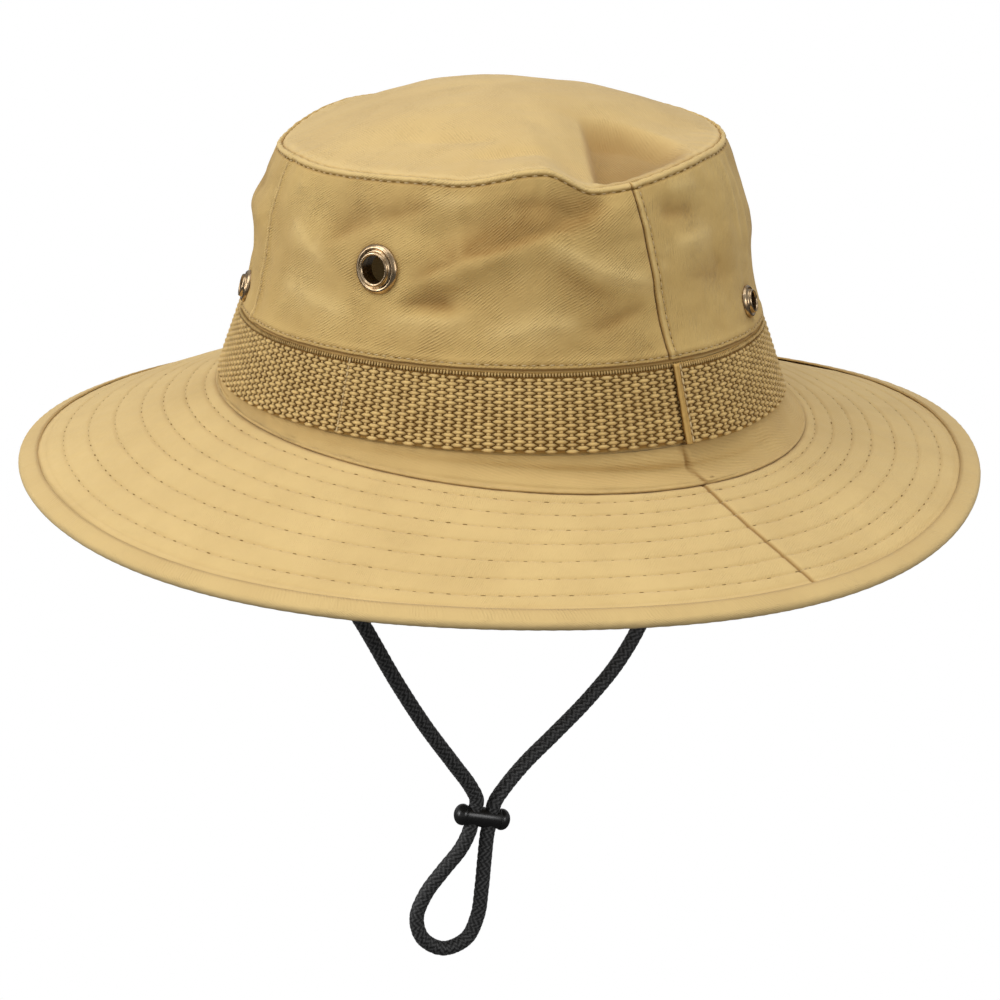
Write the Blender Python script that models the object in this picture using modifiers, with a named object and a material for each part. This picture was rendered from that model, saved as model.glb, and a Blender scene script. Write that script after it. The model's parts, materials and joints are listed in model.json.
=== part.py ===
"""Scout hat: a soft cotton crown on a wide stitched brim, with a webbing band, vent eyelets and a chin cord.

The origin is the middle of the head opening, at the foot of the webbing band. +Z is up, -Y is the back
of the hat, where its seams are, and +X is the wearer's right. An azimuth is 0 at the back and 90 degrees
at the wearer's right. Lengths are in metres.
"""

import math

import bmesh
import bpy
from mathutils import Matrix, Vector

# Crown: outer sizes of the base strip at the foot of the band
CROWN_LENGTH = 0.2142
CROWN_WIDTH = 0.1812
CLOTH = 0.0018
CLEARANCE = 0.0003
HEM_HEIGHT = 0.0248
BASE_LEAN = 0.0084
HEM_LAP = 0.0025
FRONT_NARROWING = 0.0034
NARROWING_START = math.radians(85.0)
NARROWING_SPREAD = math.radians(50.0)
FOOT_TILT_BACK = 0.0014
FOOT_TILT_RIGHT = -0.0011
HEM_TILT_BACK = 0.003
HEM_TILT_RIGHT = -0.001

# Crown wall and tip
WALL_HEIGHT = 0.0602
WALL_TAPER = 0.0144
SEAM_WAVE = 0.005
TIP_RISE = 0.0155
TIP_ROUNDNESS = 2.1
FOLD_WIDTH = 0.008
FOLD_DEPTH = 0.002
DENT_WIDTH = 0.012
DENT_DEPTH = 0.0045

# Flare of the base strip down to the brim
FLARE_BACK = 0.0116
FLARE_FRONT = 0.003
FLARE_SPREAD_LENGTH = 0.0072
FLARE_SPREAD_WIDTH = 0.0062
FLARE_SHIFT_BACK = 0.0053
FLARE_SHIFT_RIGHT = 0.0019

# Brim
BRIM_WIDTH = 0.0645
BRIM_DROP = 0.0281
BRIM_THICKNESS = 0.0016
BRIM_WAVE = 0.0035
BINDING_WIDTH = 0.0066
BINDING_CLOTH = 0.0006

# Webbing band
BAND_GAP = 0.0009
BAND_LIFT = 0.0005
BAND_THICKNESS = 0.0016
BAND_OVERLAP = math.radians(7.0)
BAND_SETTLE = math.radians(24.0)

# Vent eyelets
EYELET_RADIUS = 0.0082
EYELET_BORE_RADIUS = 0.0045
EYELET_BARREL_RADIUS = 0.0052
EYELET_WASHER_RADIUS = 0.0068
EYELET_WASHER_THICKNESS = 0.0007
EYELET_STANDING = 0.0015
EYELET_SEAT = 0.0007
EYELET_CALM = 0.014

# Chin cord, its tabs and its toggle
CORD_DIAMETER = 0.005
CORD_POINT_PITCH = 1.6 * CORD_DIAMETER
TAB_WIDTH = 0.014
TAB_DEPTH = 0.0078
TAB_TOP = 0.006
TAB_FOOT = -0.016
TAB_BORE_DEPTH = 0.012
TOGGLE_LENGTH = 0.0205
TOGGLE_DIAMETER = 0.0076
TOGGLE_WAIST = 0.0004
TOGGLE_CAP = 0.0038
TOGGLE_HOLE_SPACING = 0.0067
TOGGLE_HOLE_RADIUS = CORD_DIAMETER / 2 + 0.0004
TOGGLE_CENTRE = (-0.0054, 0.0, -0.1595)
TOGGLE_TURN = math.radians(17.0)
TOGGLE_DIP = math.radians(13.5)

# Mesh resolution
RING_STEPS = 60
WALL_ROWS = 8
BASE_ROWS = 1
FLARE_ROWS = 3
BRIM_ROWS = 3
TIP_ROWS = 7
TURN_STEPS = 14

# Height above the hem and inward lean of the crown wall: (share of WALL_HEIGHT, share of WALL_TAPER)
WALL_PROFILE = (
    (0.00, 0.00),
    (0.14, 0.15),
    (0.26, 0.26),
    (0.38, 0.35),
    (0.49, 0.39),
    (0.61, 0.45),
    (0.73, 0.56),
    (0.85, 0.70),
    (0.95, 0.87),
    (1.00, 1.00),
)

# Rise and fall of the top seam: (azimuth in degrees, share of SEAM_WAVE)
SEAM_RISES = (
    (-140.0, -1.50),
    (-95.0, -0.62),
    (-50.0, 0.06),
    (-28.0, 1.06),
    (-15.0, -0.32),
    (25.0, 0.64),
    (100.0, 0.10),
    (180.0, -0.60),
)

# Folds of the wall, each a soft ridge (+) or valley (-) along a line:
# (azimuth from, height share from, azimuth to, height share to, share of FOLD_WIDTH, share of FOLD_DEPTH)
WALL_FOLDS = (
    (-9.0, 0.92, -46.0, 0.58, 1.0, 1.1),
    (-22.0, 0.82, -50.0, 0.74, 0.8, -0.9),
    (-52.0, 0.68, -82.0, 0.76, 0.9, -0.9),
    (-38.0, 0.62, -58.0, 0.46, 0.7, 0.6),
    (-47.0, 0.36, -57.0, 0.30, 0.55, -0.8),
    (-112.0, 0.64, -140.0, 0.60, 1.0, 1.3),
    (-126.0, 0.42, -138.0, 0.40, 0.9, -0.5),
    (44.0, 0.56, 52.0, 0.50, 1.6, 0.7),
    (8.0, 0.86, 20.0, 0.60, 1.2, -0.6),
    (150.0, 0.62, 120.0, 0.78, 1.1, -0.8),
    (-168.0, 0.50, 170.0, 0.66, 1.2, 0.8),
)

# Dents of the tip, each along a line in plan, as shares of the tip's half width and half length:
# (x from, y from, x to, y to, share of DENT_WIDTH, share of DENT_DEPTH)
TIP_DENTS = (
    (-0.16, -0.88, 0.14, -0.54, 0.95, -1.0),
    (0.12, -0.80, 0.44, -0.62, 1.30, -0.6),
    (-0.72, -0.22, -0.70, -0.40, 1.00, -0.4),
    (-0.50, 0.30, -0.20, 0.75, 2.30, -0.5),
    (0.50, 0.45, 0.15, 0.70, 1.50, -0.4),
)

# Slow rise and fall of the rim: (waves round the hat, cosine share, sine share of BRIM_WAVE)
RIM_WAVES = (
    (1, 0.05, 0.90),
    (2, -0.57, 0.69),
    (3, -0.26, -0.34),
    (4, -0.09, -0.23),
)

# Seams between the wall panels: azimuth in degrees at the hem and at the top seam
PANEL_SEAMS = {
    "back": (0.0, -5.0),
    "right": (106.0, 104.0),
    "left": (-106.0, -104.0),
}

# Wall panels: (name, seam on its left edge, seam on its right edge), seen from outside
PANELS = (
    ("crown_panel_left", "left", "back"),
    ("crown_panel_right", "back", "right"),
    ("crown_panel_front", "right", "left"),
)

# Vent eyelets: (name, panel, azimuth in degrees, share of WALL_HEIGHT, share of the full eyelet size)
EYELETS = (
    ("eyelet_left_back", "crown_panel_left", -66.0, 0.49, 1.0),
    ("eyelet_left_front", "crown_panel_front", -117.0, 0.135, 0.68),
    ("eyelet_right_back", "crown_panel_right", 33.5, 0.16, 0.68),
    ("eyelet_right_front", "crown_panel_right", 84.5, 0.49, 1.0),
)

# Chin cord, from the left tab down through the toggle, round its loop and back up to the right tab
CORD_START_HEIGHT = -0.006
CORD_ROUTE_LEFT = (
    (-0.0805, 0.0, -0.030),
    (-0.0735, 0.0, -0.047),
    (-0.0630, 0.0, -0.065),
    (-0.0530, 0.0, -0.081),
    (-0.0410, 0.0, -0.102),
    (-0.0290, 0.0, -0.121),
    (-0.0175, 0.0, -0.137),
    (-0.0095, 0.0006, -0.148),
)
CORD_ROUTE_LOOP = (
    (-0.0128, 0.0023, -0.1705),
    (-0.0190, 0.0042, -0.1780),
    (-0.0250, 0.0061, -0.1860),
    (-0.0282, 0.0071, -0.1945),
    (-0.0262, 0.0064, -0.2025),
    (-0.0190, 0.0042, -0.2072),
    (-0.0110, 0.0018, -0.2045),
    (-0.0070, 0.0006, -0.1965),
    (-0.0055, 0.0001, -0.1860),
    (-0.0046, -0.0002, -0.1760),
)
CORD_ROUTE_RIGHT = (
    (0.0035, -0.0010, -0.1500),
    (0.0130, 0.0, -0.1430),
    (0.0250, 0.0, -0.1350),
    (0.0400, 0.0, -0.1245),
    (0.0530, 0.0, -0.1130),
    (0.0640, 0.0, -0.0980),
    (0.0725, 0.0, -0.0790),
    (0.0785, 0.0, -0.0580),
    (0.0815, 0.0, -0.0370),
)

KHAKI = "#D2B273"
WEBBING_KHAKI = "#CBA65E"
CORD_BLACK = "#1B1B1B"
TAB_BLACK = "#242220"
BRASS = "#8A6A45"


def linear(hex_colour):
    """The linear red, green, blue and alpha of an sRGB hex colour."""
    values = [int(hex_colour[i : i + 2], 16) / 255 for i in (1, 3, 5)]
    return [v / 12.92 if v <= 0.04045 else ((v + 0.055) / 1.055) ** 2.4 for v in values] + [1.0]


def material(name, hex_colour, roughness, metallic=0.0):
    made = bpy.data.materials.new(name)
    made.use_nodes = True
    shader = made.node_tree.nodes["Principled BSDF"]
    shader.inputs["Base Color"].default_value = linear(hex_colour)
    shader.inputs["Roughness"].default_value = roughness
    shader.inputs["Metallic"].default_value = metallic
    return made


def ease(share):
    share = min(max(share, 0.0), 1.0)
    return share * share * (3 - 2 * share)


def interpolated(table, value):
    """Reads the second column of a table whose first column rises."""
    for (low, start), (high, end) in zip(table, table[1:]):
        if value <= high:
            return start + (end - start) * max(value - low, 0.0) / (high - low)
    return table[-1][1]


def round_the_hat(table, azimuth):
    """Reads a table of (degrees, value) rows that runs once round the hat, eased between its rows."""
    degrees = (math.degrees(azimuth) + 180) % 360 - 180
    rows = ((table[-1][0] - 360, table[-1][1]),) + table + ((table[0][0] + 360, table[0][1]),)
    for (low, start), (high, end) in zip(rows, rows[1:]):
        if degrees <= high:
            return start + (end - start) * ease((degrees - low) / (high - low))
    return rows[-1][1]


def oval(azimuth, half_length, half_width):
    return Vector((half_width * math.sin(azimuth), -half_length * math.cos(azimuth), 0.0))


def crown_oval(azimuth, inset):
    """A point of the crown's oval, this far inside the foot of its base, narrower towards the front."""
    beyond = abs(turn_difference(azimuth, 0.0)) - NARROWING_START
    inset += FRONT_NARROWING * ease(beyond / NARROWING_SPREAD)
    return oval(azimuth, CROWN_LENGTH / 2 - inset, CROWN_WIDTH / 2 - inset)


def tilt(azimuth, back, right):
    return back * math.cos(azimuth) + right * math.sin(azimuth)


def distance_to_line(point, start, end):
    line = end - start
    share = 0.0
    if line.length_squared > 0:
        share = min(max((point - start).dot(line) / line.length_squared, 0.0), 1.0)
    return (point - start - line * share).length


def hem_height(azimuth):
    return HEM_HEIGHT + tilt(azimuth, HEM_TILT_BACK, HEM_TILT_RIGHT)


def seam_height(azimuth):
    """Height of the top seam, where the wall meets the tip."""
    return HEM_HEIGHT + WALL_HEIGHT + SEAM_WAVE * round_the_hat(SEAM_RISES, azimuth)


def foot_height(azimuth):
    return tilt(azimuth, FOOT_TILT_BACK, FOOT_TILT_RIGHT)


def wall_inset(share):
    """How far the wall's outside leans in from the hem at this share of its height."""
    return WALL_TAPER * interpolated(WALL_PROFILE, share)


def hem_inset():
    """How far the wall's outside at the hem, which laps over the base strip, stands inside the foot."""
    return BASE_LEAN - CLOTH - CLEARANCE


def unrolled(azimuth, share):
    """A place on the wall laid flat, in metres, for measuring how far folds and eyelets reach."""
    mean_radius = (CROWN_LENGTH + CROWN_WIDTH) / 4 - BASE_LEAN
    return Vector((azimuth * mean_radius, share * WALL_HEIGHT))


def turn_difference(azimuth, other):
    return (azimuth - other + math.pi) % (2 * math.pi) - math.pi


def fold_relief(azimuth, share):
    relief = 0.0
    for from_azimuth, from_share, to_azimuth, to_share, width, depth in WALL_FOLDS:
        start_azimuth = math.radians(from_azimuth)
        end_azimuth = start_azimuth + turn_difference(math.radians(to_azimuth), start_azimuth)
        here = unrolled(start_azimuth + turn_difference(azimuth, start_azimuth), share)
        start = unrolled(start_azimuth, from_share)
        end = unrolled(end_azimuth, to_share)
        reach = distance_to_line(here, start, end) / (width * FOLD_WIDTH)
        relief += depth * FOLD_DEPTH * math.exp(-reach * reach)
    return relief * eyelet_calm(azimuth, share)


def eyelet_calm(azimuth, share):
    """0 at an eyelet, whose metal keeps the cloth flat, and 1 away from it."""
    calm = 1.0
    for _, _, eyelet_azimuth, eyelet_share, size in EYELETS:
        offset = unrolled(turn_difference(azimuth, math.radians(eyelet_azimuth)), share - eyelet_share)
        calm *= ease((offset.length / (EYELET_CALM * size) - 0.6) / 0.9)
    return calm


def wall_point(azimuth, share):
    """A point of the crown wall's outside, from the hem (0) to the top seam (1)."""
    point = crown_oval(azimuth, hem_inset() + wall_inset(share))
    relief = fold_relief(azimuth, share) * math.sin(math.pi * ease(share)) ** 0.5
    point += point.normalized() * relief
    low = hem_height(azimuth)
    point.z = low + (seam_height(azimuth) - low) * share
    return point


def tip_point(azimuth, share):
    """A point of the tip's top, from its middle (0) to the top seam (1)."""
    inset = hem_inset() + WALL_TAPER + CLOTH + CLEARANCE
    half_length = CROWN_LENGTH / 2 - inset
    half_width = CROWN_WIDTH / 2 - inset
    point = crown_oval(azimuth, inset) * share
    seam = seam_height(azimuth) - CLEARANCE
    middle = HEM_HEIGHT + WALL_HEIGHT
    point.z = middle + (seam - middle) * share**4 + TIP_RISE * (1 - share**TIP_ROUNDNESS)
    here = Vector((point.x, point.y))
    fade = ease((1 - share) / 0.12)
    for from_x, from_y, to_x, to_y, width, depth in TIP_DENTS:
        start = Vector((from_x * half_width, from_y * half_length))
        end = Vector((to_x * half_width, to_y * half_length))
        reach = distance_to_line(here, start, end) / (width * DENT_WIDTH)
        point.z += depth * DENT_DEPTH * math.exp(-reach * reach) * fade
    return point


def base_point(azimuth, height_share, outward=0.0):
    """A point of the base strip's outside, from the foot of the band (0) to the hem (1), and above it."""
    low = foot_height(azimuth)
    high = hem_height(azimuth)
    inset = BASE_LEAN * height_share - outward
    if height_share > 1:
        wall_share = (height_share - 1) * HEM_HEIGHT / WALL_HEIGHT
        inset = BASE_LEAN - outward + wall_inset(wall_share)
    point = crown_oval(azimuth, inset)
    point.z = low + (high - low) * height_share
    return point


def flare_drop(azimuth):
    towards_back = ((1 + math.cos(azimuth)) / 2) ** 1.7
    return FLARE_FRONT + (FLARE_BACK - FLARE_FRONT) * towards_back


def join_point(azimuth):
    """Where the base strip meets the brim."""
    half_length = CROWN_LENGTH / 2 + FLARE_SPREAD_LENGTH / 2
    half_width = CROWN_WIDTH / 2 + FLARE_SPREAD_WIDTH / 2
    point = oval(azimuth, half_length, half_width) + Vector((FLARE_SHIFT_RIGHT, -FLARE_SHIFT_BACK, 0.0))
    point.z = foot_height(azimuth) - flare_drop(azimuth)
    return point


def flare_point(azimuth, share):
    """A point of the base strip's outside below the band, from the band (0) to the brim (1)."""
    start = base_point(azimuth, 0.0)
    end = join_point(azimuth)
    point = start.lerp(end, share)
    point.z = start.z + (end.z - start.z) * (1 - (1 - share) ** 1.6)
    return point


def rim_point(azimuth):
    half_length = CROWN_LENGTH / 2 + FLARE_SPREAD_LENGTH / 2 + BRIM_WIDTH
    half_width = CROWN_WIDTH / 2 + FLARE_SPREAD_WIDTH / 2 + BRIM_WIDTH
    point = oval(azimuth, half_length, half_width)
    point.z = -BRIM_DROP - FLARE_FRONT
    for waves, cosine, sine in RIM_WAVES:
        point.z += BRIM_WAVE * (cosine * math.cos(waves * azimuth) + sine * math.sin(waves * azimuth))
    return point


def brim_frame(azimuth):
    """The join, the brim's way out and down along its slope, its length that way, and its upward normal."""
    start = join_point(azimuth)
    way = rim_point(azimuth) - start
    step = math.radians(0.5)
    along = join_point(azimuth + step) - join_point(azimuth - step)
    along += rim_point(azimuth + step) - rim_point(azimuth - step)
    normal = way.cross(along).normalized()
    return start, way.normalized(), way.length, normal


def brim_point(azimuth, share):
    """A point of the brim's top, from its join with the crown (0) to its edge inside the binding (1)."""
    start, way, length, _ = brim_frame(azimuth)
    edge = length - BINDING_CLOTH - CLEARANCE
    return start + way * (CLEARANCE + (edge - CLEARANCE) * share)


def mesh_object(name, points, faces, surface):
    mesh = bpy.data.meshes.new(name)
    mesh.from_pydata(points, [], faces)
    mesh.update()
    made = bpy.data.objects.new(name, mesh)
    parts.objects.link(made)
    made.data.materials.append(surface)
    return made


def lofted(name, rows, surface, closed_round=True, closed_section=False, pole=None):
    """Faces between rows of points. Each row goes round the hat, and the rows follow the section."""
    count = len(rows[0])
    points = [tuple(point) for row in rows for point in row]
    faces = []
    row_pairs = len(rows) if closed_section else len(rows) - 1
    for row in range(row_pairs):
        below = row * count
        above = (row + 1) % len(rows) * count
        for column in range(count if closed_round else count - 1):
            after = (column + 1) % count
            faces.append((below + column, below + after, above + after, above + column))
    if pole is not None:
        top = len(points)
        last = (len(rows) - 1) * count
        points.append(tuple(pole))
        for column in range(count):
            faces.append((last + column, last + (column + 1) % count, top))
    return mesh_object(name, points, faces, surface)


def thickened(made, thickness):
    """A wall of this thickness behind the surface."""
    wall = made.modifiers.new("wall", "SOLIDIFY")
    wall.thickness = thickness
    wall.offset = -1.0
    wall.use_even_offset = True
    return made


def smoothed(made, degrees=35.0):
    made.data.shade_smooth()
    made.data.set_sharp_from_angle(angle=math.radians(degrees))
    return made


def ring_azimuths(steps=RING_STEPS):
    return [2 * math.pi * step / steps for step in range(steps)]


def build_panel(name, left_seam, right_seam, surface):
    """One wall panel between two seams, each as wide as the seam gap leaves it."""
    turns = []
    for place in (0, 1):
        start = math.radians(PANEL_SEAMS[left_seam][place])
        turns.append((start, (math.radians(PANEL_SEAMS[right_seam][place]) - start) % (2 * math.pi)))
    columns = round(RING_STEPS * turns[0][1] / (2 * math.pi)) + 1
    half_gap = CLEARANCE / 2 / (CROWN_WIDTH / 2 - BASE_LEAN - WALL_TAPER)
    rows = []
    for row in range(WALL_ROWS + 1):
        share = row / WALL_ROWS
        start = turns[0][0] + (turns[1][0] - turns[0][0]) * share + half_gap
        span = turns[0][1] + (turns[1][1] - turns[0][1]) * share - 2 * half_gap
        rows.append([wall_point(start + span * column / (columns - 1), share) for column in range(columns)])
    return smoothed(thickened(lofted(name, rows, surface, closed_round=False), CLOTH))


def build_tip(surface):
    rows = []
    for row in range(TIP_ROWS):
        share = 1 - row / TIP_ROWS
        rows.append([tip_point(azimuth, share) for azimuth in ring_azimuths()])
    return smoothed(thickened(lofted("crown_tip", rows, surface, pole=tip_point(0.0, 0.0)), CLOTH))


def build_base(surface):
    """The strip behind the webbing: up behind the wall's hem, and flared down to the brim."""
    lap = 1 + HEM_LAP / HEM_HEIGHT
    rows = []
    for row in range(FLARE_ROWS):
        rows.append([flare_point(azimuth, 1 - row / FLARE_ROWS) for azimuth in ring_azimuths()])
    for row in range(BASE_ROWS):
        rows.append([base_point(azimuth, row / BASE_ROWS) for azimuth in ring_azimuths()])
    for share in (1.0, lap):
        rows.append([base_point(azimuth, share) for azimuth in ring_azimuths()])
    return smoothed(thickened(lofted("crown_base", rows, surface), CLOTH))


def build_band(surface):
    """The webbing, whose end at the back lies over its own start."""
    steps = RING_STEPS + 2
    whole = 2 * math.pi + BAND_OVERLAP
    seated = CLEARANCE + BAND_THICKNESS
    rows = []
    for height in (BAND_LIFT, HEM_HEIGHT - BAND_GAP):
        row = []
        for step in range(steps + 1):
            azimuth = whole * step / steps
            lifted = 1 - ease((azimuth - BAND_OVERLAP) / BAND_SETTLE)
            outward = seated + lifted * (BAND_THICKNESS + CLEARANCE)
            row.append(base_point(azimuth, height / HEM_HEIGHT, outward))
        rows.append(row)
    return smoothed(thickened(lofted("webbing_band", rows, surface, closed_round=False), BAND_THICKNESS))


def build_brim(surface):
    rows = []
    for row in range(BRIM_ROWS + 1):
        rows.append([brim_point(azimuth, 1 - row / BRIM_ROWS) for azimuth in ring_azimuths()])
    return smoothed(thickened(lofted("brim", rows, surface), BRIM_THICKNESS))


def binding_section():
    """The binding's section as (distance in from the rim, height over the brim's top)."""
    over = CLEARANCE + BINDING_CLOTH
    under = BRIM_THICKNESS + over
    corner = (over + under) * 0.22
    return (
        (BINDING_WIDTH, over),
        (BINDING_WIDTH, CLEARANCE),
        (BINDING_CLOTH, CLEARANCE),
        (BINDING_CLOTH, -BRIM_THICKNESS - CLEARANCE),
        (BINDING_WIDTH, -BRIM_THICKNESS - CLEARANCE),
        (BINDING_WIDTH, -under),
        (corner, -under),
        (0.0, corner - under),
        (0.0, over - corner),
        (corner, over),
    )


def build_binding(surface):
    rows = []
    for inward, height in binding_section():
        row = []
        for azimuth in ring_azimuths():
            start, way, length, normal = brim_frame(azimuth)
            row.append(start + way * (length - inward) + normal * height)
        rows.append(row)
    return smoothed(lofted("brim_binding", rows, surface, closed_section=True))


def eyelet_seat(azimuth_degrees, share):
    """Where an eyelet sits: the matrix from its own frame, whose Z points out of the wall."""
    azimuth = math.radians(azimuth_degrees)
    step = 0.02
    along = wall_point(azimuth + step, share) - wall_point(azimuth - step, share)
    up = wall_point(azimuth, share + step) - wall_point(azimuth, share - step)
    out = along.cross(up).normalized()
    side = along.normalized()
    turn = Matrix((side, out.cross(side), out)).transposed().to_4x4()
    return Matrix.Translation(wall_point(azimuth, share)) @ turn


def turned(name, profile, surface, steps=TURN_STEPS):
    """A ring turned about its own Z from a closed profile of (radius, height) points."""
    mesh = bpy.data.meshes.new(name)
    count = len(profile)
    edges = [(i, (i + 1) % count) for i in range(count)]
    mesh.from_pydata([(radius, 0.0, height) for radius, height in profile], edges, [])
    made = bpy.data.objects.new(name, mesh)
    parts.objects.link(made)
    made.data.materials.append(surface)
    spin = made.modifiers.new("turn", "SCREW")
    spin.steps = steps
    spin.render_steps = steps
    spin.use_merge_vertices = True
    spin.merge_threshold = 0.00001
    spin.use_smooth_shade = True
    return made


def eyelet_profile(size):
    """A raised flange with a rolled lip outside the wall, a barrel through it and a washer inside."""
    inside = -CLOTH - EYELET_SEAT
    back = inside - EYELET_WASHER_THICKNESS
    bore = EYELET_BORE_RADIUS * size
    barrel = EYELET_BARREL_RADIUS * size
    flange = EYELET_RADIUS * size
    washer = EYELET_WASHER_RADIUS * size
    lip = bore + (flange - bore) * 0.3
    groove = bore + (flange - bore) * 0.38
    return (
        (bore + (lip - bore) * 0.4, EYELET_STANDING),
        (lip, EYELET_STANDING),
        (groove, EYELET_STANDING * 0.6),
        (groove + (flange - groove) * 0.4, EYELET_STANDING * 0.85),
        (groove + (flange - groove) * 0.8, EYELET_STANDING * 0.65),
        (flange, CLEARANCE),
        (barrel, CLEARANCE),
        (barrel, inside),
        (washer, inside),
        (washer, back),
        (bore, back),
        (bore, EYELET_STANDING * 0.7),
    )


def cutter_cylinder(name, radius, depth, sides=TURN_STEPS):
    bpy.ops.mesh.primitive_cylinder_add(vertices=sides, radius=radius, depth=depth)
    made = bpy.context.object
    made.name = name
    for collection in list(made.users_collection):
        collection.objects.unlink(made)
    cutters.objects.link(made)
    made.hide_render = True
    made.display_type = "WIRE"
    return made


def cut(made, cutter):
    boolean = made.modifiers.new("cut " + cutter.name, "BOOLEAN")
    boolean.operation = "DIFFERENCE"
    boolean.solver = "EXACT"
    boolean.object = cutter


def build_eyelets(panels, surface):
    for name, panel, azimuth, share, size in EYELETS:
        seat = eyelet_seat(azimuth, share)
        turned(name, eyelet_profile(size), surface).matrix_world = seat
        hole = cutter_cylinder(name + "_hole", EYELET_BARREL_RADIUS * size + CLEARANCE, 8 * CLOTH)
        hole.matrix_world = seat
        cut(panels[panel], hole)


def tab_middle(side):
    """The middle of a cord tab, whose top edge rests against the inside of the crown."""
    wall = base_point(side * math.pi / 2, TAB_TOP / HEM_HEIGHT).x
    inner = abs(wall) - CLOTH * 1.1 - 2 * CLEARANCE
    return Vector((side * (inner - TAB_DEPTH / 2), 0.0, (TAB_TOP + TAB_FOOT) / 2))


def build_tab(name, side, surface):
    middle = tab_middle(side)
    bpy.ops.mesh.primitive_cube_add(size=1.0, location=middle)
    tab = bpy.context.object
    tab.name = name
    tab.data.transform(Matrix.Diagonal((TAB_DEPTH, TAB_WIDTH, TAB_TOP - TAB_FOOT, 1.0)))
    for collection in list(tab.users_collection):
        collection.objects.unlink(tab)
    parts.objects.link(tab)
    tab.data.materials.append(surface)
    bore_radius = CORD_DIAMETER / 2 + CLEARANCE
    bore = cutter_cylinder(name + "_bore", bore_radius, 2 * TAB_BORE_DEPTH)
    bore.location = (middle.x, middle.y, TAB_FOOT)
    rounding = tab.modifiers.new("rounded edges", "BEVEL")
    rounding.width = min(TAB_DEPTH / 2 - bore_radius, CLOTH) * 0.6
    rounding.segments = 2
    cut(tab, bore)
    return tab


def toggle_axes():
    """The toggle's unit vectors: along its length, and along the two holes that the cord passes."""
    flat = Vector((math.cos(TOGGLE_TURN), -math.sin(TOGGLE_TURN), 0.0))
    up = Vector((0.0, 0.0, 1.0))
    along = flat * math.cos(TOGGLE_DIP) - up * math.sin(TOGGLE_DIP)
    through = flat * math.sin(TOGGLE_DIP) + up * math.cos(TOGGLE_DIP)
    return along, through


def toggle_hole(side):
    return Vector(TOGGLE_CENTRE) + toggle_axes()[0] * side * TOGGLE_HOLE_SPACING / 2


def build_toggle(surface):
    """A waisted rod with rounded ends, and two holes through it side by side."""
    along, through = toggle_axes()
    half = TOGGLE_LENGTH / 2
    radius = TOGGLE_DIAMETER / 2
    side = (
        (0.0, half),
        (radius * 0.55, half - radius * 0.08),
        (radius * 0.9, half - radius * 0.35),
        (radius, half - radius * 0.7),
        (radius, half - TOGGLE_CAP),
        (radius - TOGGLE_WAIST, half - TOGGLE_CAP - TOGGLE_WAIST),
    )
    profile = side + tuple((r, -z) for r, z in reversed(side))
    mesh = bpy.data.meshes.new("cord_toggle")
    edges = [(i, i + 1) for i in range(len(profile) - 1)]
    mesh.from_pydata([(r, 0.0, z) for r, z in profile], edges, [])
    toggle = bpy.data.objects.new("cord_toggle", mesh)
    parts.objects.link(toggle)
    toggle.data.materials.append(surface)
    spin = toggle.modifiers.new("turn", "SCREW")
    spin.steps = TURN_STEPS
    spin.render_steps = TURN_STEPS
    spin.use_merge_vertices = True
    spin.merge_threshold = 0.00001
    spin.use_smooth_shade = True
    turn = Matrix((through, along.cross(through), along)).transposed().to_4x4()
    toggle.matrix_world = Matrix.Translation(TOGGLE_CENTRE) @ turn
    for place in (-1, 1):
        hole = cutter_cylinder(f"toggle_hole_{place + 1}", TOGGLE_HOLE_RADIUS, 2 * TOGGLE_DIAMETER)
        centre = toggle_hole(place)
        turn = Matrix((along, through.cross(along), through)).transposed().to_4x4()
        hole.matrix_world = Matrix.Translation(centre) @ turn
        cut(toggle, hole)
    return toggle


def cord_route():
    """The points that the cord passes, tab to tab."""
    through = toggle_axes()[1] * TOGGLE_DIAMETER * 0.75
    left = tab_middle(-1)
    right = tab_middle(1)
    route = [Vector((left.x, 0.0, CORD_START_HEIGHT)), Vector((left.x, 0.0, TAB_FOOT))]
    route += [Vector(point) for point in CORD_ROUTE_LEFT]
    route += [toggle_hole(-1) + through, toggle_hole(-1), toggle_hole(-1) - through]
    route += [Vector(point) for point in CORD_ROUTE_LOOP]
    route += [toggle_hole(1) - through, toggle_hole(1), toggle_hole(1) + through]
    route += [Vector(point) for point in CORD_ROUTE_RIGHT]
    route += [Vector((right.x, 0.0, TAB_FOOT)), Vector((right.x, 0.0, CORD_START_HEIGHT))]
    return route


def smooth_curve(route, steps=24):
    """Points close together on a smooth curve through the route's own points."""
    points = []
    ends = [2 * route[0] - route[1]] + route + [2 * route[-1] - route[-2]]
    for before, start, end, after in zip(ends, ends[1:], ends[2:], ends[3:]):
        first = (start - before).length ** 0.5
        middle = (end - start).length ** 0.5
        last = (after - end).length ** 0.5
        out = (start - before) / first - (end - before) / (first + middle) + (end - start) / middle
        back = (end - start) / middle - (after - start) / (middle + last) + (after - end) / last
        out *= middle
        back *= middle
        for step in range(steps):
            t = step / steps
            cubic = (2 * start - 2 * end + out + back) * t**3
            square = (3 * end - 3 * start - 2 * out - back) * t**2
            points.append(cubic + square + out * t + start)
    return points + [route[-1]]


def spaced(points, pitch):
    """The points of a curve at even distances, ends included."""
    lengths = [0.0]
    for start, end in zip(points, points[1:]):
        lengths.append(lengths[-1] + (end - start).length)
    count = round(lengths[-1] / pitch)
    found = []
    place = 0
    for step in range(count + 1):
        wanted = lengths[-1] * step / count
        while place < len(points) - 2 and lengths[place + 1] < wanted:
            place += 1
        share = (wanted - lengths[place]) / (lengths[place + 1] - lengths[place])
        found.append(points[place].lerp(points[place + 1], share))
    return found


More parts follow.
